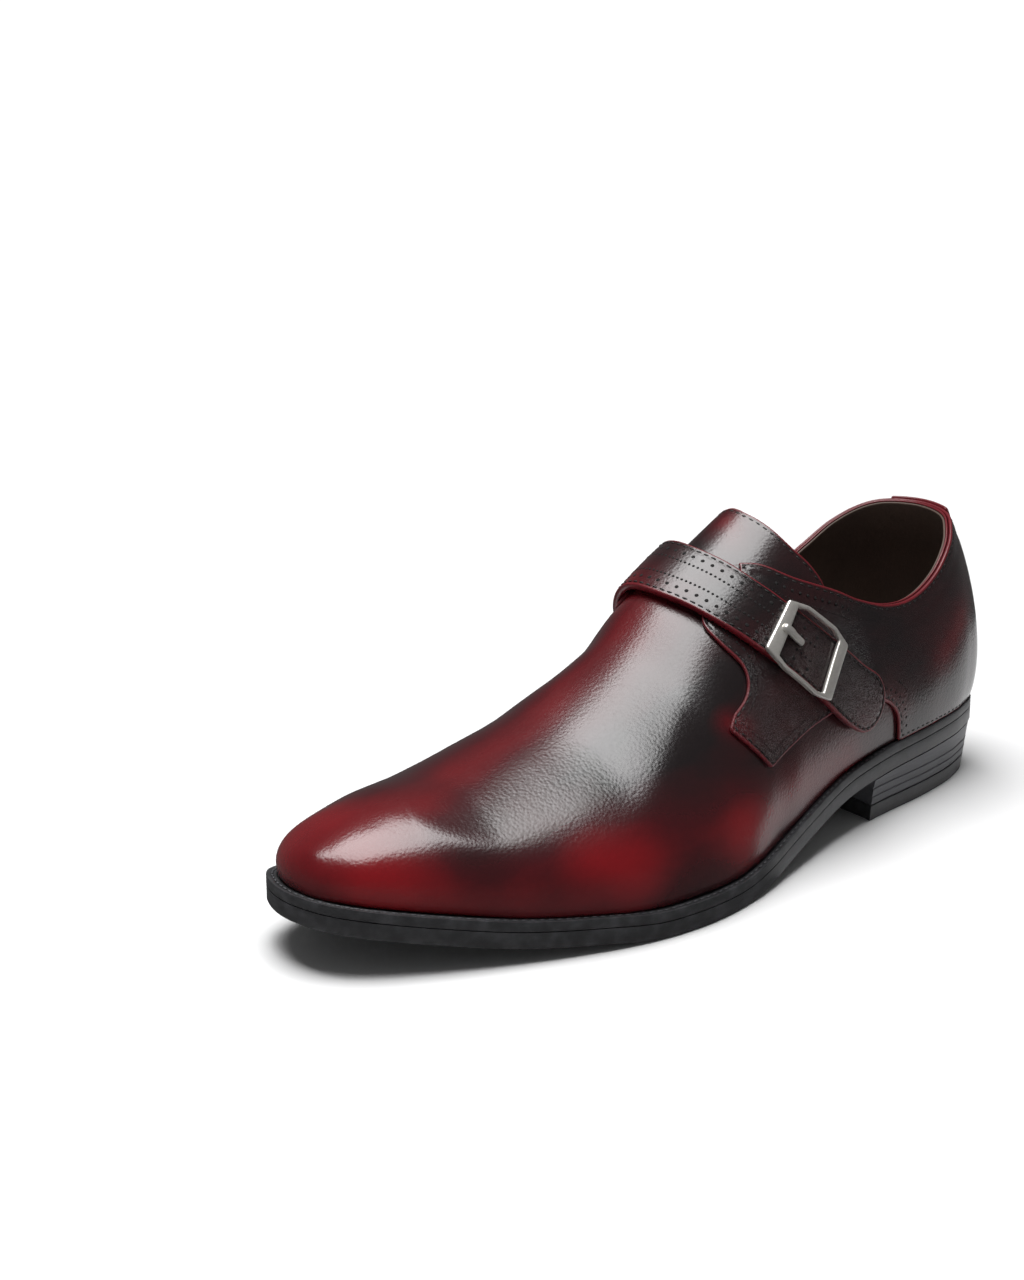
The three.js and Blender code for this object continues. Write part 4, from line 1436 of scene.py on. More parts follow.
@dataclass
class Bottom:
    """Outsole, welt, heel and insole, as stacked rings of the sole's outline."""

    last: Last
    rubber: bpy.types.Material
    stack: bpy.types.Material
    lining: bpy.types.Material
    thread: bpy.types.Material
    columns: int = 230
    edge_bevel: float = 0.9
    top_lift: float = 6.0
    lifts: int = 3
    lift_groove: float = 0.4
    heel_taper: float = 2.2
    breast_hollow: float = 3.0
    insole_thickness: float = 5.0
    upper_wall: float = 1.8
    tread_inset: float = 6.0

    def ring(self, inset: Callable[[Array], Array], height: Callable[[Array], Array]) -> Array:
        """Points once round the sole, seen from above turning left from the heel's back."""
        outline = Outline(self.last, inset)
        go = np.linspace(0, 1, self.columns)
        station = np.concatenate([go, go[-2:0:-1]])
        side = np.concatenate([-np.ones(self.columns), np.ones(self.columns - 2)])
        x, s, _, _ = outline(station, side)
        return np.stack([x, self.last.heel_centre - s, height(s / self.last.sole_length)], axis=-1)

    def round_body(
        self, levels: Sequence[tuple[Any, Any]], edge: Sequence[float], tube: bool = False
    ) -> Skin:
        """A body from levels of insets and heights.

        Args:
            levels: an inset and a height for each ring, functions of the share along the sole.
            edge: the named value of each ring.
            tube: True joins the last ring to the first, False closes both with caps.

        Returns:
            The points and faces.
        """
        skin = Skin()
        firsts = [skin.add(self.ring(inset, height), e) for (inset, height), e in zip(levels, edge)]
        size = 2 * self.columns - 2
        rows = [list(range(first, first + size)) for first in firsts]
        for low, high in zip(rows, rows[1:] + ([rows[0]] if tube else [])):
            skin.band(low, high)
        if not tube:
            for row in (rows[0], rows[-1]):
                for i in range(self.columns - 1):
                    a, b = row[i], row[i + 1]
                    c, d = row[(size - i - 1) % size], row[(size - i) % size]
                    skin.faces.append(tuple(dict.fromkeys((a, b, c, d))))
        return skin

    def outsole(self) -> Skin:
        """The sole's layer under the welt, its lower edge and upper edge rounded."""
        under, thick, bevel = self.last.underside, self.last.outsole_thickness, self.edge_bevel
        levels = [
            (constant(self.tread_inset), under),
            (constant(bevel), under),
            (constant(0.3 * bevel), lambda a: under(a) + 0.3 * bevel),
            (constant(0.0), lambda a: under(a) + bevel),
            (constant(0.0), lambda a: under(a) + thick - 0.1),
            (constant(0.05), lambda a: under(a) + thick + 0.05),
            (constant(0.3), lambda a: under(a) + thick + 0.1),
        ]
        return self.round_body(levels, (1, 0.2, 0, 0, 0, 0, 0))

    def welt(self) -> Skin:
        """The flat ring with a groove for its thread, and its inner wall under the leather."""
        last = self.last
        low = lambda a: last.underside(a) + last.outsole_thickness + last.clearance
        high = lambda a: low(a) + last.welt_thickness
        ledge = lambda a: last.ledge_width * last.at["ledge"](a)
        share = lambda k, drop: (lambda a: k * ledge(a), lambda a: high(a) - drop)
        bevel = self.edge_bevel
        levels = [
            (constant(0.15), low),
            (constant(0.0), lambda a: low(a) + 0.12),
            (constant(0.0), lambda a: high(a) - 0.5 * bevel),
            (constant(0.15 * bevel), lambda a: high(a) - 0.15 * bevel),
            share(0.17, 0.0), share(0.32, 0.02), share(0.42, 0.3), share(0.6, 0.32), share(0.7, 0.04),
            share(0.86, 0.0), share(0.96, 0.5), share(1.06, 0.5),
            (lambda a: ledge(a) + self.upper_wall, high),
            (lambda a: ledge(a) + self.upper_wall, low),
        ]
        return self.round_body(levels, (0,) * len(levels), tube=True)

    def insole(self) -> Skin:
        """The insole, its upper edge rounded."""
        last = self.last
        low = lambda a: last.underside(a) + last.outsole_thickness + last.clearance
        edge = lambda a: last.ledge_width * last.at["ledge"](a) + self.upper_wall + last.clearance
        top = self.insole_thickness
        levels = [
            (edge, low),
            (edge, lambda a: low(a) + top - 1.2),
            (lambda a: edge(a) + 0.35, lambda a: low(a) + top - 0.35),
            (lambda a: edge(a) + 1.2, lambda a: low(a) + top),
            (lambda a: edge(a) + 9.0, lambda a: low(a) + top - 0.4),
        ]
        return self.round_body(levels, (0,) * len(levels))

    def heel_ring(self, inset: float, height: Callable[[Array], Array], nudge: float = 0.0) -> Array:
        """Points once round the heel, with its hollow front.

        Args:
            inset: how far the side stands in from the sole's outline.
            height: height for a share along the sole.
            nudge: how far the front stands back.

        Returns:
            Points, one row each.
        """
        last = self.last
        outline = Outline(last, constant(inset))
        reach = last.ball_width * 0.35
        radius = (reach**2 + self.breast_hollow**2) / (2 * self.breast_hollow)
        front = lambda x: last.heel_length - nudge - self.breast_hollow + radius - np.sqrt(radius**2 - x**2)
        count = 60
        limit = last.heel_length - nudge
        rise = (1 - np.cos(np.pi / 2 * np.linspace(0, 1, count))) * (limit - outline.start) + outline.start
        inner = outline.at_length(rise, -np.ones(count))
        outer = outline.at_length(rise[::-1], np.ones(count))
        across = np.linspace(inner[0][-1], outer[0][0], 26)[1:-1]
        x = np.concatenate([inner[0], across, outer[0][:-1]])
        s = np.concatenate([rise, front(across), rise[::-1][:-1]])
        return np.stack([x, last.heel_centre - s, height(s / last.sole_length)], axis=-1)

    def heel_body(self, levels: Sequence[tuple[float, Any]]) -> Skin:
        """A body of the heel.

        Args:
            levels: an inset and a height for each ring, from below.

        Returns:
            The points and faces.
        """
        skin = Skin()
        rows = []
        for inset, height in levels:
            ring = self.heel_ring(inset, height, max(inset - self.heel_taper, 0.0))
            first = skin.add(ring, 0.0)
            rows.append(list(range(first, first + len(ring))))
        for low, high in zip(rows, rows[1:]):
            skin.band(low, high)
        skin.faces.extend((tuple(rows[0][::-1]), tuple(rows[-1])))
        return skin

    def inset_at(self, height: float) -> float:
        """How far the heel's side stands in at a height."""
        return self.heel_taper * (1 - height / self.last.seat_height) + self.edge_bevel / 2

    def heel(self) -> Skin:
        """The stacked lifts, with a groove between each two."""
        last = self.last
        low = self.top_lift + last.clearance
        front = float(last.underside(last.heel_length / last.sole_length))
        step = (front - last.clearance - low) / self.lifts
        groove = self.lift_groove
        levels = [(self.inset_at(low) + 0.25, constant(low)), (self.inset_at(low), constant(low + 0.25))]
        for i in range(1, self.lifts):
            line = low + i * step
            for rise, cut in ((-1, 0), (-0.3, 0.6), (0.3, 0.6), (1, 0)):
                levels.append((self.inset_at(line) + cut * groove, constant(line + rise * groove)))
        levels.append((self.inset_at(last.seat_height), lambda a: last.underside(a) - last.clearance))
        return self.heel_body(levels)

    def lift_at_floor(self) -> Skin:
        """The rubber lift that the heel stands on."""
        bevel, top = self.edge_bevel / 2, self.top_lift
        return self.heel_body([
            (self.inset_at(0) + bevel, constant(0)),
            (self.inset_at(0) + 0.3 * bevel, constant(0.3 * bevel)),
            (self.inset_at(0), constant(bevel)),
            (self.inset_at(top), constant(top - 0.25)),
            (self.inset_at(top) + 0.25, constant(top)),
        ])

    def welt_thread(self) -> bpy.types.Object:
        """The stitches that lie in the welt's groove, from the heel's one side to the other."""
        last = self.last
        top = lambda a: last.underside(a) + last.welt_top - 0.12
        ledge = lambda a: 0.51 * last.ledge_width * last.at["ledge"](a)
        ring = self.ring(ledge, top)
        ring = ring[ring[:, 1] < last.heel_centre - 0.24 * last.sole_length]
        ring = np.roll(ring, -int(np.argmax(ring[:, 1] * np.where(ring[:, 0] < 0, 1, -9))), axis=0)
        stitches = Repeats("welt_stitches", self.thread, 2.9, 2.2, 0.75, 0.55)
        stitches.lines.append((ring, np.tile((0.0, 0.0, 1.0), (len(ring), 1)), False))
        return stitches.build()

    def build(self) -> None:
        """Makes and dresses the whole bottom."""
        for name, slot, finish, shape in (
            ("outsole", "rubber", self.rubber, self.outsole),
            ("welt", "rubber", self.rubber, self.welt),
            ("heel", "stack", self.stack, self.heel),
            ("top_lift", "rubber", self.rubber, self.lift_at_floor),
            ("insole", "lining", self.lining, self.insole),
        ):
            piece = shape().build("fine_" + name, finish, None)
            piece.data.set_sharp_from_angle(angle=math.radians(40))
            dress(piece, slot, name)
        dress(self.welt_thread(), "rubber")


@dataclass
class Leathers:
    """Upper, lining, quarter, tongue and back strip, all drawn over the last."""

    last: Last
    wine: BurnishedLeather
    dye: Dye
    lining: bpy.types.Material
    thread: bpy.types.Material
    # Painted shade: the near-black finish of the punched holes
    hole_shade: bpy.types.Material
    wall: float = 1.8
    skin: float = 0.85
    quarter_low: float = 0.3
    quarter_high: float = 1.5
    strip_low: float = 1.8
    strip_high: float = 2.9
    strip_width: float = 24.0
    strip_height: float = 36.0
    columns: int = 300
    levels: int = 64

    topline_rows: Rows = (
        (-0.05, 1.02), (0.02, 1.01), (0.065, 0.985), (0.105, 0.885), (0.145, 0.775), (0.19, 0.7),
        (0.235, 0.7), (0.28, 0.762), (0.315, 0.835), (0.36, 0.915), (0.386, 0.978), (0.403, 0.988),
        (0.42, 0.99), (0.45, 1.06), (0.47, 1.4),
    )
    quarter_rows: Rows = (
        (0.396, 1.3), (0.407, 0.985), (0.433, 0.92), (0.466, 0.83), (0.482, 0.765), (0.481, 0.69),
        (0.472, 0.6), (0.475, 0.53), (0.488, 0.47), (0.51, 0.42),
    )
    foot_rows: Rows = ((0.51, 0.42), (0.524, 0.365), (0.482, 0.16))
    waist_rows: Rows = (
        (0.482, 0.16), (0.444, 0.205), (0.41, 0.242), (0.37, 0.268), (0.33, 0.278), (0.285, 0.262),
        (0.25, 0.225), (0.228, 0.16), (0.218, 0.07), (0.213, -0.15),
    )
    tongue_rows: Rows = (
        (0.38, 1.45), (0.352, 1.16), (0.342, 1.06), (0.327, 0.96), (0.318, 0.85), (0.325, 0.74),
        (0.37, 0.66), (0.44, 0.66), (0.5, 0.7), (0.53, 1.0), (0.54, 1.45),
    )
    # Boxes that the punched rows stay in: lowest x, y and z, then highest
    collar_box: Sequence[float] = (20, -105, 72, 70, -52, 120)
    front_box: Sequence[float] = (20, -130, 40, 70, -84, 84)
    heel_box: Sequence[float] = (20, -50, 26, 70, -22, 50)

    def __post_init__(self) -> None:
        """Reads the topline as a height over the length."""
        line = self.last.side_view(self.topline_rows, 400)
        order = np.argsort(line[:, 0])
        self.line_y, self.line_z = line[order, 0], line[order, 1]
        self.leather = self.wine.build()

    def topline(self, stations: Array, side: Side) -> Array:
        """Where the collar cuts the surface.

        Args:
            stations: places from the heel's back to the toe.
            side: side of the shoe.

        Returns:
            The reach of the cut at each station, 1 where there is none.
        """
        reach = np.linspace(0, 1, 401)
        grid_u, grid_r = np.meshgrid(stations, reach, indexing="ij")
        points = self.last.surface(grid_u, np.full(grid_u.shape, side.value), grid_r)
        over = points[..., 2] - np.interp(points[..., 1], self.line_y, self.line_z)
        cut = np.ones(len(stations))
        for i, row in enumerate(over):
            above = np.nonzero(row > 0)[0]
            if len(above) and above[0] > 0:
                k = above[0]
                cut[i] = reach[k - 1] + (reach[k] - reach[k - 1]) * row[k - 1] / (row[k - 1] - row[k])
        return cut

    def shell(self, top: float, wall: float, drop: float) -> Skin:
        """A closed shell that follows the last from the welt to the collar.

        Args:
            top: lift of its face.
            wall: its thickness.
            drop: how far its upper edge lies below the collar, as a reach.

        Returns:
            The points and faces.
        """
        skin = Skin()
        half = 0.5 - 0.5 * np.cos(np.pi * np.linspace(0, 1, self.columns))
        stations = 0.35 * half + 0.65 * np.linspace(0, 1, self.columns)
        turn = np.pi * np.linspace(0, 1, 7)
        cuts = [self.topline(stations, side) for side in (Side.OUTER, Side.INNER)]
        gaping = (cuts[0] < 1) | (cuts[1] < 1)
        columns: list[list[Array]] = [[], []]
        edges: list[list[Array]] = [[], []]
        for number, side in enumerate((Side.OUTER, Side.INNER)):
            cut = cuts[number]
            end = np.where(cut < 1, cut - drop, 1.0)
            for i in range(self.columns):
                reach = end[i] * np.linspace(0, 1, self.levels)
                rounding = 0.5 * wall * np.sin(turn[1:-1]) / 120.0 if cut[i] < 1 else 0 * turn[1:-1]
                reaches = np.concatenate([reach, end[i] + rounding, reach[::-1]])
                middle = top - 0.5 * wall
                lifts = np.concatenate([
                    np.full(self.levels, top), middle + 0.5 * wall * np.cos(turn[1:-1]),
                    np.full(self.levels, top - wall),
                ])
                if cut[i] >= 1:
                    reaches = np.minimum(reaches, 1.0)
                place = np.full(len(reaches), stations[i] * side.value)
                edge = np.zeros(len(reaches))
                edge[self.levels : -self.levels] = 1.0 if cut[i] < 1 else 0.0
                columns[number].append(self.last.lifted(Chart.WRAP, place, reaches, lifts))
                edges[number].append(edge)
        size = len(columns[0][0])
        ridge = slice(self.levels - 1, size - self.levels + 1)
        for i in np.nonzero(~gaping)[0]:
            shared = (columns[0][i][ridge] + columns[1][i][ridge]) / 2
            columns[0][i][ridge] = shared
            columns[1][i][ridge] = shared
        rows: list[list[int]] = []
        for number, around in ((0, range(self.columns)), (1, range(self.columns - 2, 0, -1))):
            for i in around:
                first = skin.add(columns[number][i], edges[number][i])
                rows.append(list(range(first, first + size)))
        gaps = np.concatenate([gaping, gaping[-2:0:-1]])
        for k, row in enumerate(rows):
            after = rows[(k + 1) % len(rows)]
            open_here = gaps[k] or gaps[(k + 1) % len(rows)]
            for j in range(size):
                n = (j + 1) % size
                if not open_here and self.levels - 1 <= j < size - self.levels:
                    continue
                skin.faces.append((row[j], after[j], after[n], row[n]))
        return skin

    def half_quarter(self, side: Side) -> tuple[Array, Array]:
        """One side of the quarter's outline.

        Args:
            side: side of the shoe.

        Returns:
            Laid out places from the topline down the front and along the waist to the welt, and the
            same side's topline from the front to the heel's back.
        """
        last, wrap = self.last, Chart.WRAP
        front = last.side_view(self.quarter_rows, 160)
        foot = evenly(last.side_view(self.foot_rows, 0), 1.5)
        waist = last.side_view(self.waist_rows, 140)
        view = np.vstack([front, foot[1:], waist[1:]])
        below = view[:, 1] < np.interp(view[:, 0], self.line_y, self.line_z) - 0.1
        edge = last.find(wrap, side, view[below])
        edge = edge[edge[:, 1] > 0.4]
        start = abs(edge[0, 0])
        stations = np.interp(np.linspace(start, 0, 220), last.runs, last.stations)
        top = last.flat(wrap, stations * side.value, self.topline(stations, side))
        top[:, 0] = np.linspace(start, 0, 220) * side.value
        down = np.stack([np.full(4, edge[-1, 0]), np.linspace(edge[-1, 1], 0.0, 5)[1:]], axis=1)
        return np.vstack([edge, down]), top

    def quarter_panel(self) -> Panel:
        """The quarter: one panel round the heel, with its shaped fronts."""
        outer_edge, outer_top = self.half_quarter(Side.OUTER)
        inner_edge, inner_top = self.half_quarter(Side.INNER)
        foot = np.stack([np.linspace(outer_edge[-1, 0], inner_edge[-1, 0], 200)[1:-1], np.zeros(198)], axis=1)
        loop = np.vstack([outer_edge, foot, inner_edge[::-1], inner_top, outer_top[::-1][1:]])
        loop = soften(evenly(loop, 0.9, closed=True), 0.8, 0.9)
        top = np.vstack([outer_top, inner_top[::-1][1:]])
        collar = Trough(top - (0.0, 6.6), 1.0, 0.3)
        sheet = LastSheet(self.last, Chart.WRAP)
        return Panel(sheet, loop, self.quarter_low, self.quarter_high, troughs=(collar,), spacing=1.7)

    def tongue_panel(self) -> Panel:
        """The tongue, seen above the strap."""
        view = self.last.side_view(self.tongue_rows, 260)
        outer = self.last.find(Chart.OVER, Side.OUTER, view)
        inner = self.last.find(Chart.OVER, Side.INNER, view)
        loop = soften(evenly(np.vstack([outer, inner[::-1]]), 0.9, closed=True), 1.2, 0.9)
        top = -self.wall - self.last.clearance
        return Panel(LastSheet(self.last, Chart.OVER), loop, top - 1.8, top)

    def back_panel(self) -> Panel:
        """The strip over the seam at the heel."""
        last, half = self.last, self.strip_width / 2
        seat = float(last.foot_height(0.0))
        centre = seat + last.collar_height - self.strip_height + half
        turn = np.linspace(0, np.pi / 2, 24)
        sides = []
        for side in (Side.OUTER, Side.INNER):
            arc = np.stack([half * np.sin(turn) * side.value, centre - half * np.cos(turn)], axis=1)[1:]
            up = np.linspace(centre, seat + 1.04 * last.collar_height, 60)[1:]
            view = np.vstack([arc, np.stack([np.full(59, half * side.value), up], axis=1)])
            laid = last.find(Chart.WRAP, side, view, across=0)
            station = np.interp(np.abs(laid[:, 0]), last.runs, last.stations)
            keep = laid[:, 1] / last.wall_scale < self.topline(station, side)
            sides.append(laid[keep])
        ends = [side[-1, 0] for side in sides]
        width = np.linspace(ends[0], ends[1], 40)
        station = np.interp(np.abs(width), last.runs, last.stations)
        level = np.where(width > 0, self.topline(station, Side.OUTER), self.topline(station, Side.INNER))
        top = np.stack([width, level * last.wall_scale], axis=1)
        loop = np.vstack([sides[0], top, sides[1][::-1]])
        loop = soften(evenly(loop, 0.8, closed=True), 0.8, 0.8)
        return Panel(LastSheet(last, Chart.WRAP), loop, self.strip_low, self.strip_high, spacing=1.6)

    def build(self) -> None:
        """Makes and dresses the leather."""
        face = self.shell(0.0, self.skin, 0.0)
        dress(face.build("upper_leather", self.leather, self.dye), "oxblood", "upper")
        lining = self.shell(-self.skin - 0.1, self.wall - self.skin - 0.1, 0.002)
        dress(lining.build("upper_lining", self.lining, None), "lining")
        panels = (
            ("quarter_leather", "dark", "quarter", self.quarter_panel()),
            ("tongue_leather", "oxblood", "tongue", self.tongue_panel()),
            ("back_strip_leather", "dark", "back_strip", self.back_panel()),
        )
        for name, slot, node, panel in panels:
            dress(panel.mesh().build(name, self.leather, self.dye), slot, node)
        quarter, tongue, strip = (row[3] for row in panels)
        stitches = Repeats("upper_stitches", self.thread, 3.1, 2.2, 0.75, 0.5)
        for panel in (quarter, tongue, strip):
            stitches.add(panel.sheet, panel.offset(1.45), panel.high - 0.14, closed=True)
        dress(stitches.build(), "dark")
        self.punching(quarter)

    def punching(self, quarter: Panel) -> None:
        """Punches the quarter's rows: by the collar, along the shaped front and by the heel.

        Args:
            quarter: the panel; each row follows its edge at a distance, inside a box.
        """
        for name, size, spacing, rows in (
            ("large", 1.15, 3.0, ((4.4, self.collar_box), (4.0, self.heel_box))),
            ("small", 0.6, 1.3, ((4.3, self.front_box), (7.6, self.heel_box), (7.2, self.collar_box))),
        ):
            # Each hole is a flat dark mark whose colour is painted shade inside the hole
            holes = Repeats("quarter_holes_" + name, self.hole_shade, spacing, size, size, 0.2, wobble=0)
            for inset, box in rows:
                line = quarter.offset(inset)
                spot = quarter.sheet.on(line, 0.0)
                keep = ((spot > box[:3]) & (spot < box[3:])).all(1)
                holes.add(quarter.sheet, line[keep], quarter.high)
            dress(holes.build(), "dark")


@dataclass
class Fastening:
    """The strap with its punched rows, and the buckle over it."""

    last: Last
    leather: bpy.types.Material
    dye: Dye
    thread: bpy.types.Material
    # Painted shade: the near-black finish of the punched holes
    hole_shade: bpy.types.Material
    nickel: bpy.types.Material
    low: float = 1.95
    high: float = 4.35
    end_width: float = 26.0
    width: float = 22.6
    tip_width: float = 21.4
    buckle_length: float = 28.0
    buckle_width: float = 26.4
    buckle_place: float = 0.688
    buckle_lift: float = 4.65
    buckle_thickness: float = 2.0
    bar: float = 4.3
    bow: float = 1.35
    prong_start: float = 1.4
    prong_run: float = 9.4
    prong_radius: float = 1.65
    prong_narrowing: float = 0.35
    # Punched rows: name, distance from the strap's edge, spacing, size, rise of the leather there
    hole_rows: Sequence[tuple[str, float, float, float, float]] = (
        ("large", 4.4, 3.9, 1.45, 0.14),
        ("small", 7.8, 1.75, 1.0, 0.23),
    )
    # Shares of the strap's length between which it is punched
    hole_runs: Rows = ((0.05, 0.59), (0.66, 0.7))

    def __post_init__(self) -> None:
        """Lays the strap's run out."""
        self.sheet = StrapSheet(self.last)
        share = Smooth((0, 0.35, 0.65, 1), (self.end_width, self.width, self.tip_width, self.tip_width))
        self.half = lambda distance: share(np.asarray(distance) / self.sheet.length) / 2

    def strap_panel(self) -> Panel:
        """The strap, square at its sewn end and round at its tip."""
        radius = self.tip_width / 2
        run = np.arange(0, self.sheet.length - radius, 1.0)
        turn = np.linspace(-np.pi / 2, np.pi / 2, 40)
        tip = np.stack([self.sheet.length - radius + radius * np.cos(turn), radius * np.sin(turn)], axis=1)
        lower = np.stack([run, -self.half(run)], axis=1)
        upper = np.stack([run, self.half(run)], axis=1)
        loop = evenly(np.vstack([lower, tip, upper[::-1]]), 0.9, closed=True)
        return Panel(self.sheet, soften(loop, 0.6, 0.9), self.low, self.high, crown=0.25, spacing=1.6)

    def row(self, inset: float, side: float, start: float, end: float) -> Array:
        """A line along the strap at a distance from one edge."""
        run = np.linspace(start, end, 80) * self.sheet.length
        return np.stack([run, side * (self.half(run) - inset)], axis=1)

    def marks(self, panel: Panel) -> None:
        """Stitches and punched holes of the strap.

        Args:
            panel: the strap.
        """
        stitches = Repeats("strap_stitches", self.thread, 3.1, 2.2, 0.75, 0.5)
        stitches.add(self.sheet, panel.offset(1.45), self.high - 0.02, closed=True)
        dress(stitches.build(), "dark")
        for name, inset, spacing, size, puff in self.hole_rows:
            # Each hole is a flat dark mark whose colour is painted shade inside the hole
            holes = Repeats("strap_holes_" + name, self.hole_shade, spacing, size, size, 0.2, wobble=0)
            for side in (-1.0, 1.0):
                for start, end in self.hole_runs:
                    holes.add(self.sheet, self.row(inset, side, start, end), self.high + puff)
            dress(holes.build(), "dark")

    def rim(self, turn: Array, inset: float) -> Array:
        """The buckle's outline, laid out from the middle of the buckle.

        Args:
            turn: shares of one turn round it.
            inset: 0 for the outer outline to 1 for the inner one.

        Returns:
            Laid out places.
        """
        half, bow = self.buckle_length / 2, self.buckle_width / 2
        lines = []
        for long, wide, shoulder in ((half, bow, 0.8), (half - self.bar, bow - self.bow, 0.87)):
            corners = [(-long, 0), (-long, shoulder * wide), (-0.45 * half, wide), (0.45 * half, wide)]
            corners += [(long, shoulder * wide), (long, 0)]
            ring = np.asarray(corners + [(u, -v) for u, v in corners[-2:0:-1]])
            ends = np.roll(ring, -1, axis=0)
            legs = [np.linspace(start, end, 24, endpoint=False) for start, end in zip(ring, ends)]
            line = soften(np.vstack(legs), 0.5, 0.4)
            share = np.arange(len(line) + 1) / len(line)
            line = np.vstack([line, line[:1]])
            lines.append(np.stack([np.interp(turn, share, line[:, k]) for k in (0, 1)], axis=1))
        return (1 - inset) * lines[0] + inset * lines[1]

    def buckle(self) -> Skin:
        """The buckle's frame, bent over the strap, with soft edges."""
        skin = Skin()
        turn = np.arange(220) / 220
        middle = np.asarray((self.buckle_place * self.sheet.length, 0.0))
        high = self.buckle_thickness
        section = [
            (0.0, 0.5), (0.0, high - 0.45), (0.06, high - 0.15), (0.16, high),
            (0.84, high), (0.94, high - 0.15), (1.0, high - 0.45), (1.0, 0.5),
            (0.94, 0.15), (0.84, 0), (0.16, 0), (0.06, 0.15),
        ]
        rows = []
        for inset, lift in section:
            points = self.sheet.on(middle + self.rim(turn, inset), self.buckle_lift + lift)
            first = skin.add(points, 0.0)
            rows.append(list(range(first, first + len(turn))))
        for low, above in zip(rows, rows[1:] + rows[:1]):
            skin.band(low, above)
        return skin

    def prong(self) -> Skin:
        """The prong, a round rod that hooks over the near bar and dips to the strap."""
        skin = Skin()
        half = self.buckle_length / 2
        start = self.buckle_place * self.sheet.length - half + self.prong_start
        steps = np.linspace(0, 1, 26)
        run = start + self.prong_run * steps
        ends = np.clip(steps, 0.0, 0.1) - 0.1 + np.clip(steps, 0.9, 1.0) - 0.9
        radius = self.prong_radius - self.prong_narrowing * steps
        radius = radius * np.sqrt(np.clip(1 - (ends * 9.9) ** 2, 0.02, 1))
        lift = self.buckle_lift + Smooth((0, 0.15, 0.35, 0.6, 1), (1.7, 2.3, 2.1, 1.2, 0.8))(steps)
        rows = []
        for angle in np.linspace(0, 2 * np.pi, 15)[:-1]:
            laid = np.stack([run, radius * np.cos(angle)], axis=1)
            first = skin.add(self.sheet.on(laid, lift + 0.9 * radius * np.sin(angle)), 0.0)
            rows.append(list(range(first, first + len(steps))))
        for low, above in zip(rows, rows[1:] + rows[:1]):
            skin.band(low, above, closed=False)
        skin.faces.append(tuple(row[0] for row in rows))
        skin.faces.append(tuple(row[-1] for row in rows[::-1]))
        return skin

    def build(self) -> None:
        """Makes and dresses the strap and buckle."""
        panel = self.strap_panel()
        dress(panel.mesh().build("strap_leather", self.leather, self.dye), "oxblood", "strap")
        self.marks(panel)
        dress(self.buckle().build("buckle_frame_fine", self.nickel, None), "nickel", "buckle_frame")
        dress(self.prong().build("buckle_prong_fine", self.nickel, None), "nickel", "buckle_prong")


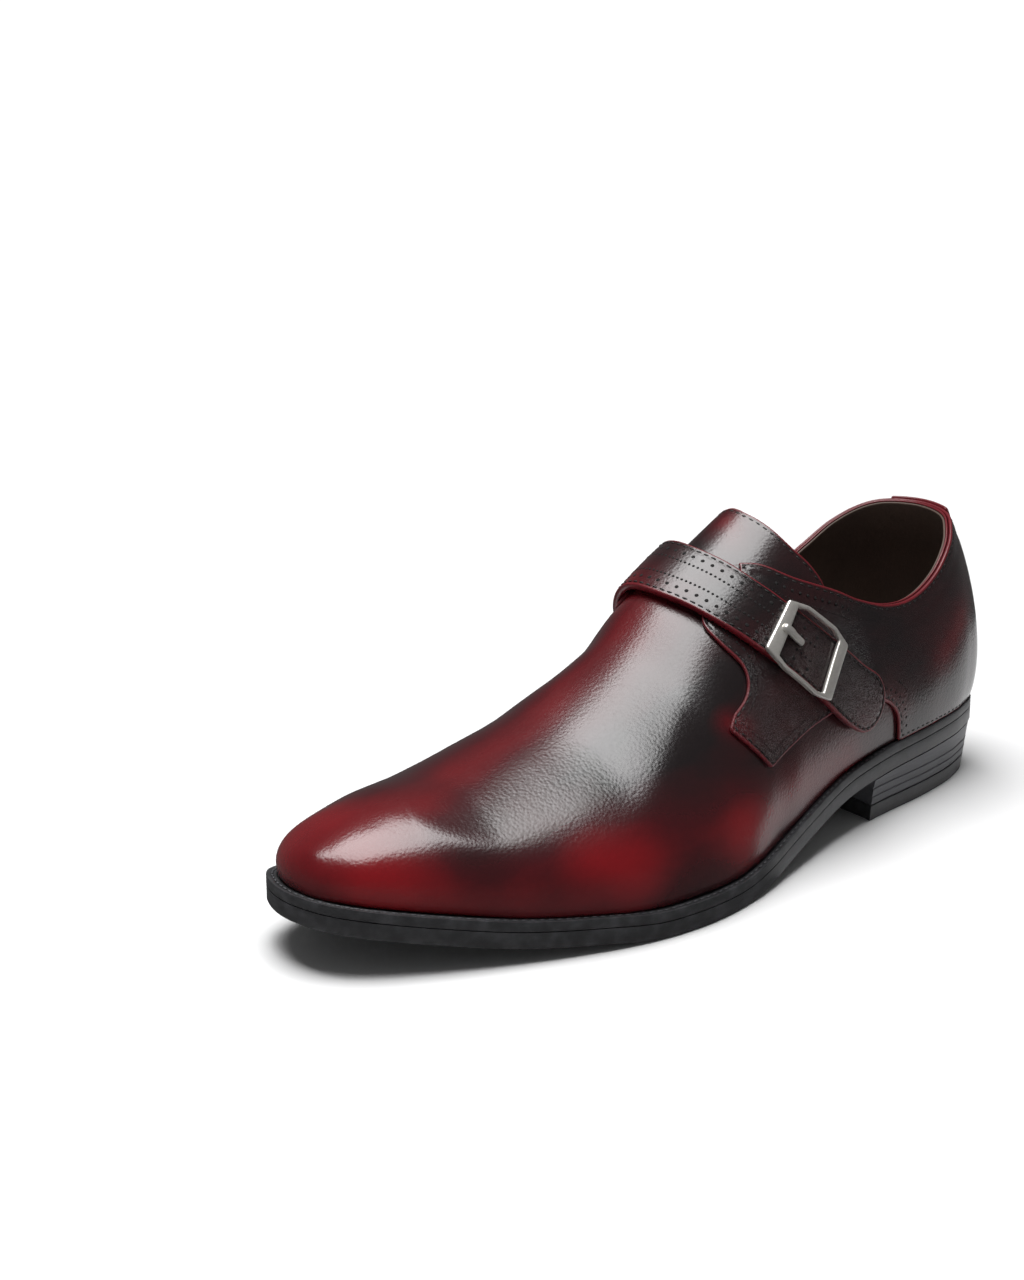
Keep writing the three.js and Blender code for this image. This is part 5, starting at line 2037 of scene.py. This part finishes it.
@dataclass
class Studio:
    """Pale floor, soft overhead light and the camera at the photograph's angle."""

    azimuth: float = 47.455
    elevation: float = 17.11
    distance: float = 956.9
    target: tuple[float, float, float] = (-111.9, -76.1, 41.9)
    roll: float = -0.23
    lens: float = 2521 / 1280 * 36
    sensor: float = 36.0
    floor_radius: float = 12.0
    table_place: tuple[float, float] = (-0.02, 0.05)
    table_half: tuple[float, float] = (0.11, 0.2)
    room_radius: float = 13.0
    surroundings: float = 0.13
    # Place in metres, size along and across, strength in watts
    lights: Rows = (
        (-0.1, -0.2, 1.2, 0.9, 0.8, 23.5),
    )

    def camera(self) -> None:
        """Makes the camera."""
        azimuth, elevation, roll = (math.radians(a) for a in (self.azimuth, self.elevation, self.roll))
        level = math.cos(elevation)
        back = np.asarray((math.sin(azimuth) * level, -math.cos(azimuth) * level, math.sin(elevation)))
        right = np.asarray((math.cos(azimuth), math.sin(azimuth), 0.0))
        up = np.cross(back, right)
        across = math.cos(roll) * right + math.sin(roll) * up
        rise = math.cos(roll) * up - math.sin(roll) * right
        place = (np.asarray(self.target) + back * self.distance) * MM
        data = bpy.data.cameras.new("camera")
        data.sensor_fit, data.sensor_height, data.sensor_width = "VERTICAL", self.sensor, self.sensor
        data.lens, data.clip_start, data.clip_end = self.lens, 0.01, 100.0
        camera = bpy.data.objects.new("camera", data)
        turn = np.eye(4)
        turn[:3, 0], turn[:3, 1], turn[:3, 2], turn[:3, 3] = across, rise, back, place
        camera.matrix_world = Matrix(turn.tolist())
        bpy.context.collection.objects.link(camera)
        bpy.context.scene.camera = camera

    def floor(self) -> None:
        """Makes the floor: a patch that the shoe mirrors, and the rest, which it doesn't."""
        finish = PaleFloor().build()
        turn = 2 * np.pi * np.arange(96) / 96
        circle = np.stack([np.cos(turn), np.sin(turn), 0 * turn], axis=1)
        inner = circle * (*self.table_half, 0.0) + (*self.table_place, 0.0)
        outer = circle * self.floor_radius
        ring = [(i, i + 96, (i + 1) % 96 + 96, (i + 1) % 96) for i in range(96)]
        for name, points, faces in (
            ("floor_near", inner, [tuple(range(96))]),
            ("floor_far", np.vstack([inner, outer]), ring),
        ):
            mesh = bpy.data.meshes.new(name)
            mesh.from_pydata(points.tolist(), [], faces)
            mesh.materials.append(finish)
            floor = bpy.data.objects.new(name, mesh)
            bpy.context.collection.objects.link(floor)
            floor.visible_glossy = name == "floor_near"
            floor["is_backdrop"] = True

    def backdrop(self) -> None:
        """Makes the white room behind the shoe, which only the camera sees."""
        room = bmesh.new()
        bmesh.ops.create_icosphere(room, subdivisions=4, radius=self.room_radius)
        mesh = bpy.data.meshes.new("backdrop")
        room.to_mesh(mesh)
        room.free()
        material, graph, surface = new_material("white_room")
        soft = graph.noise(graph.place(), 4000.0)
        feed(graph, surface, {
            "Base Color": (0.0, 0.0, 0.0, 1.0),
            "Roughness": 1.0,
            "Specular IOR Level": 0.0,
            "Emission Color": graph.mix(soft, (0.99, 0.99, 0.99, 1.0), (1.0, 1.0, 1.0, 1.0)),
            "Emission Strength": 1.0,
        })
        mesh.materials.append(material)
        backdrop = bpy.data.objects.new("backdrop", mesh)
        bpy.context.collection.objects.link(backdrop)
        backdrop.visible_glossy = backdrop.visible_diffuse = backdrop.visible_shadow = False
        backdrop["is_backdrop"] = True

    def light(self) -> None:
        """Makes the lamps and the dim surroundings."""
        aim = np.asarray((0.0, -0.11, 0.05))
        for number, (x, y, z, length, width, power) in enumerate(self.lights):
            data = bpy.data.lights.new(f"softbox_{number}", "AREA")
            data.shape, data.size, data.size_y, data.energy = "RECTANGLE", length, width, power
            lamp = bpy.data.objects.new(f"softbox_{number}", data)
            away = unit(np.asarray((x, y, z)) - aim)
            side = unit(np.cross((0.0, 1.0, 0.0), away))
            turn = np.eye(4)
            turn[:3, 0], turn[:3, 1], turn[:3, 2], turn[:3, 3] = side, np.cross(away, side), away, (x, y, z)
            lamp.matrix_world = Matrix(turn.tolist())
            bpy.context.collection.objects.link(lamp)
        world = bpy.data.worlds.new("studio")
        world.use_nodes = True
        background = world.node_tree.nodes["Background"]
        background.inputs["Color"].default_value = (1.0, 1.0, 1.0, 1.0)
        background.inputs["Strength"].default_value = self.surroundings
        bpy.context.scene.world = world
        bpy.context.scene.view_settings.view_transform = "Standard"

    def build(self) -> None:
        """Sets the studio up."""
        self.camera()
        self.floor()
        self.backdrop()
        self.light()


def corners() -> list[list[float]]:
    """Lowest and highest corner of all pieces, as plain numbers."""
    return [[float(value) for value in corner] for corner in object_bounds()]


def main() -> None:
    """Builds the studio and the shoe."""
    logging.basicConfig(level=logging.INFO, format="%(message)s")
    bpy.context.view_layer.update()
    last = Last()
    dye = Dye()
    lining = Lining().build()
    thread = Thread("black_thread", tint(12, 10, 10), 0.6).build()
    # Punched holes: near-black marks on the leather whose colour is painted shade inside each hole
    hole_shade = Thread("punched_hole_shade", tint(10, 6, 7), 0.9).build()
    Studio().build()
    welt_thread = Thread("welt_thread", tint(84, 84, 88)).build()
    Bottom(last, SoleRubber().build(), HeelStack().build(), lining, welt_thread).build()
    leathers = Leathers(last, BurnishedLeather("burnished_leather"), dye, lining, thread, hole_shade)
    leathers.build()
    Fastening(last, leathers.leather, dye, thread, hole_shade, BrushedNickel().build()).build()


if __name__ == "__main__":
    main()
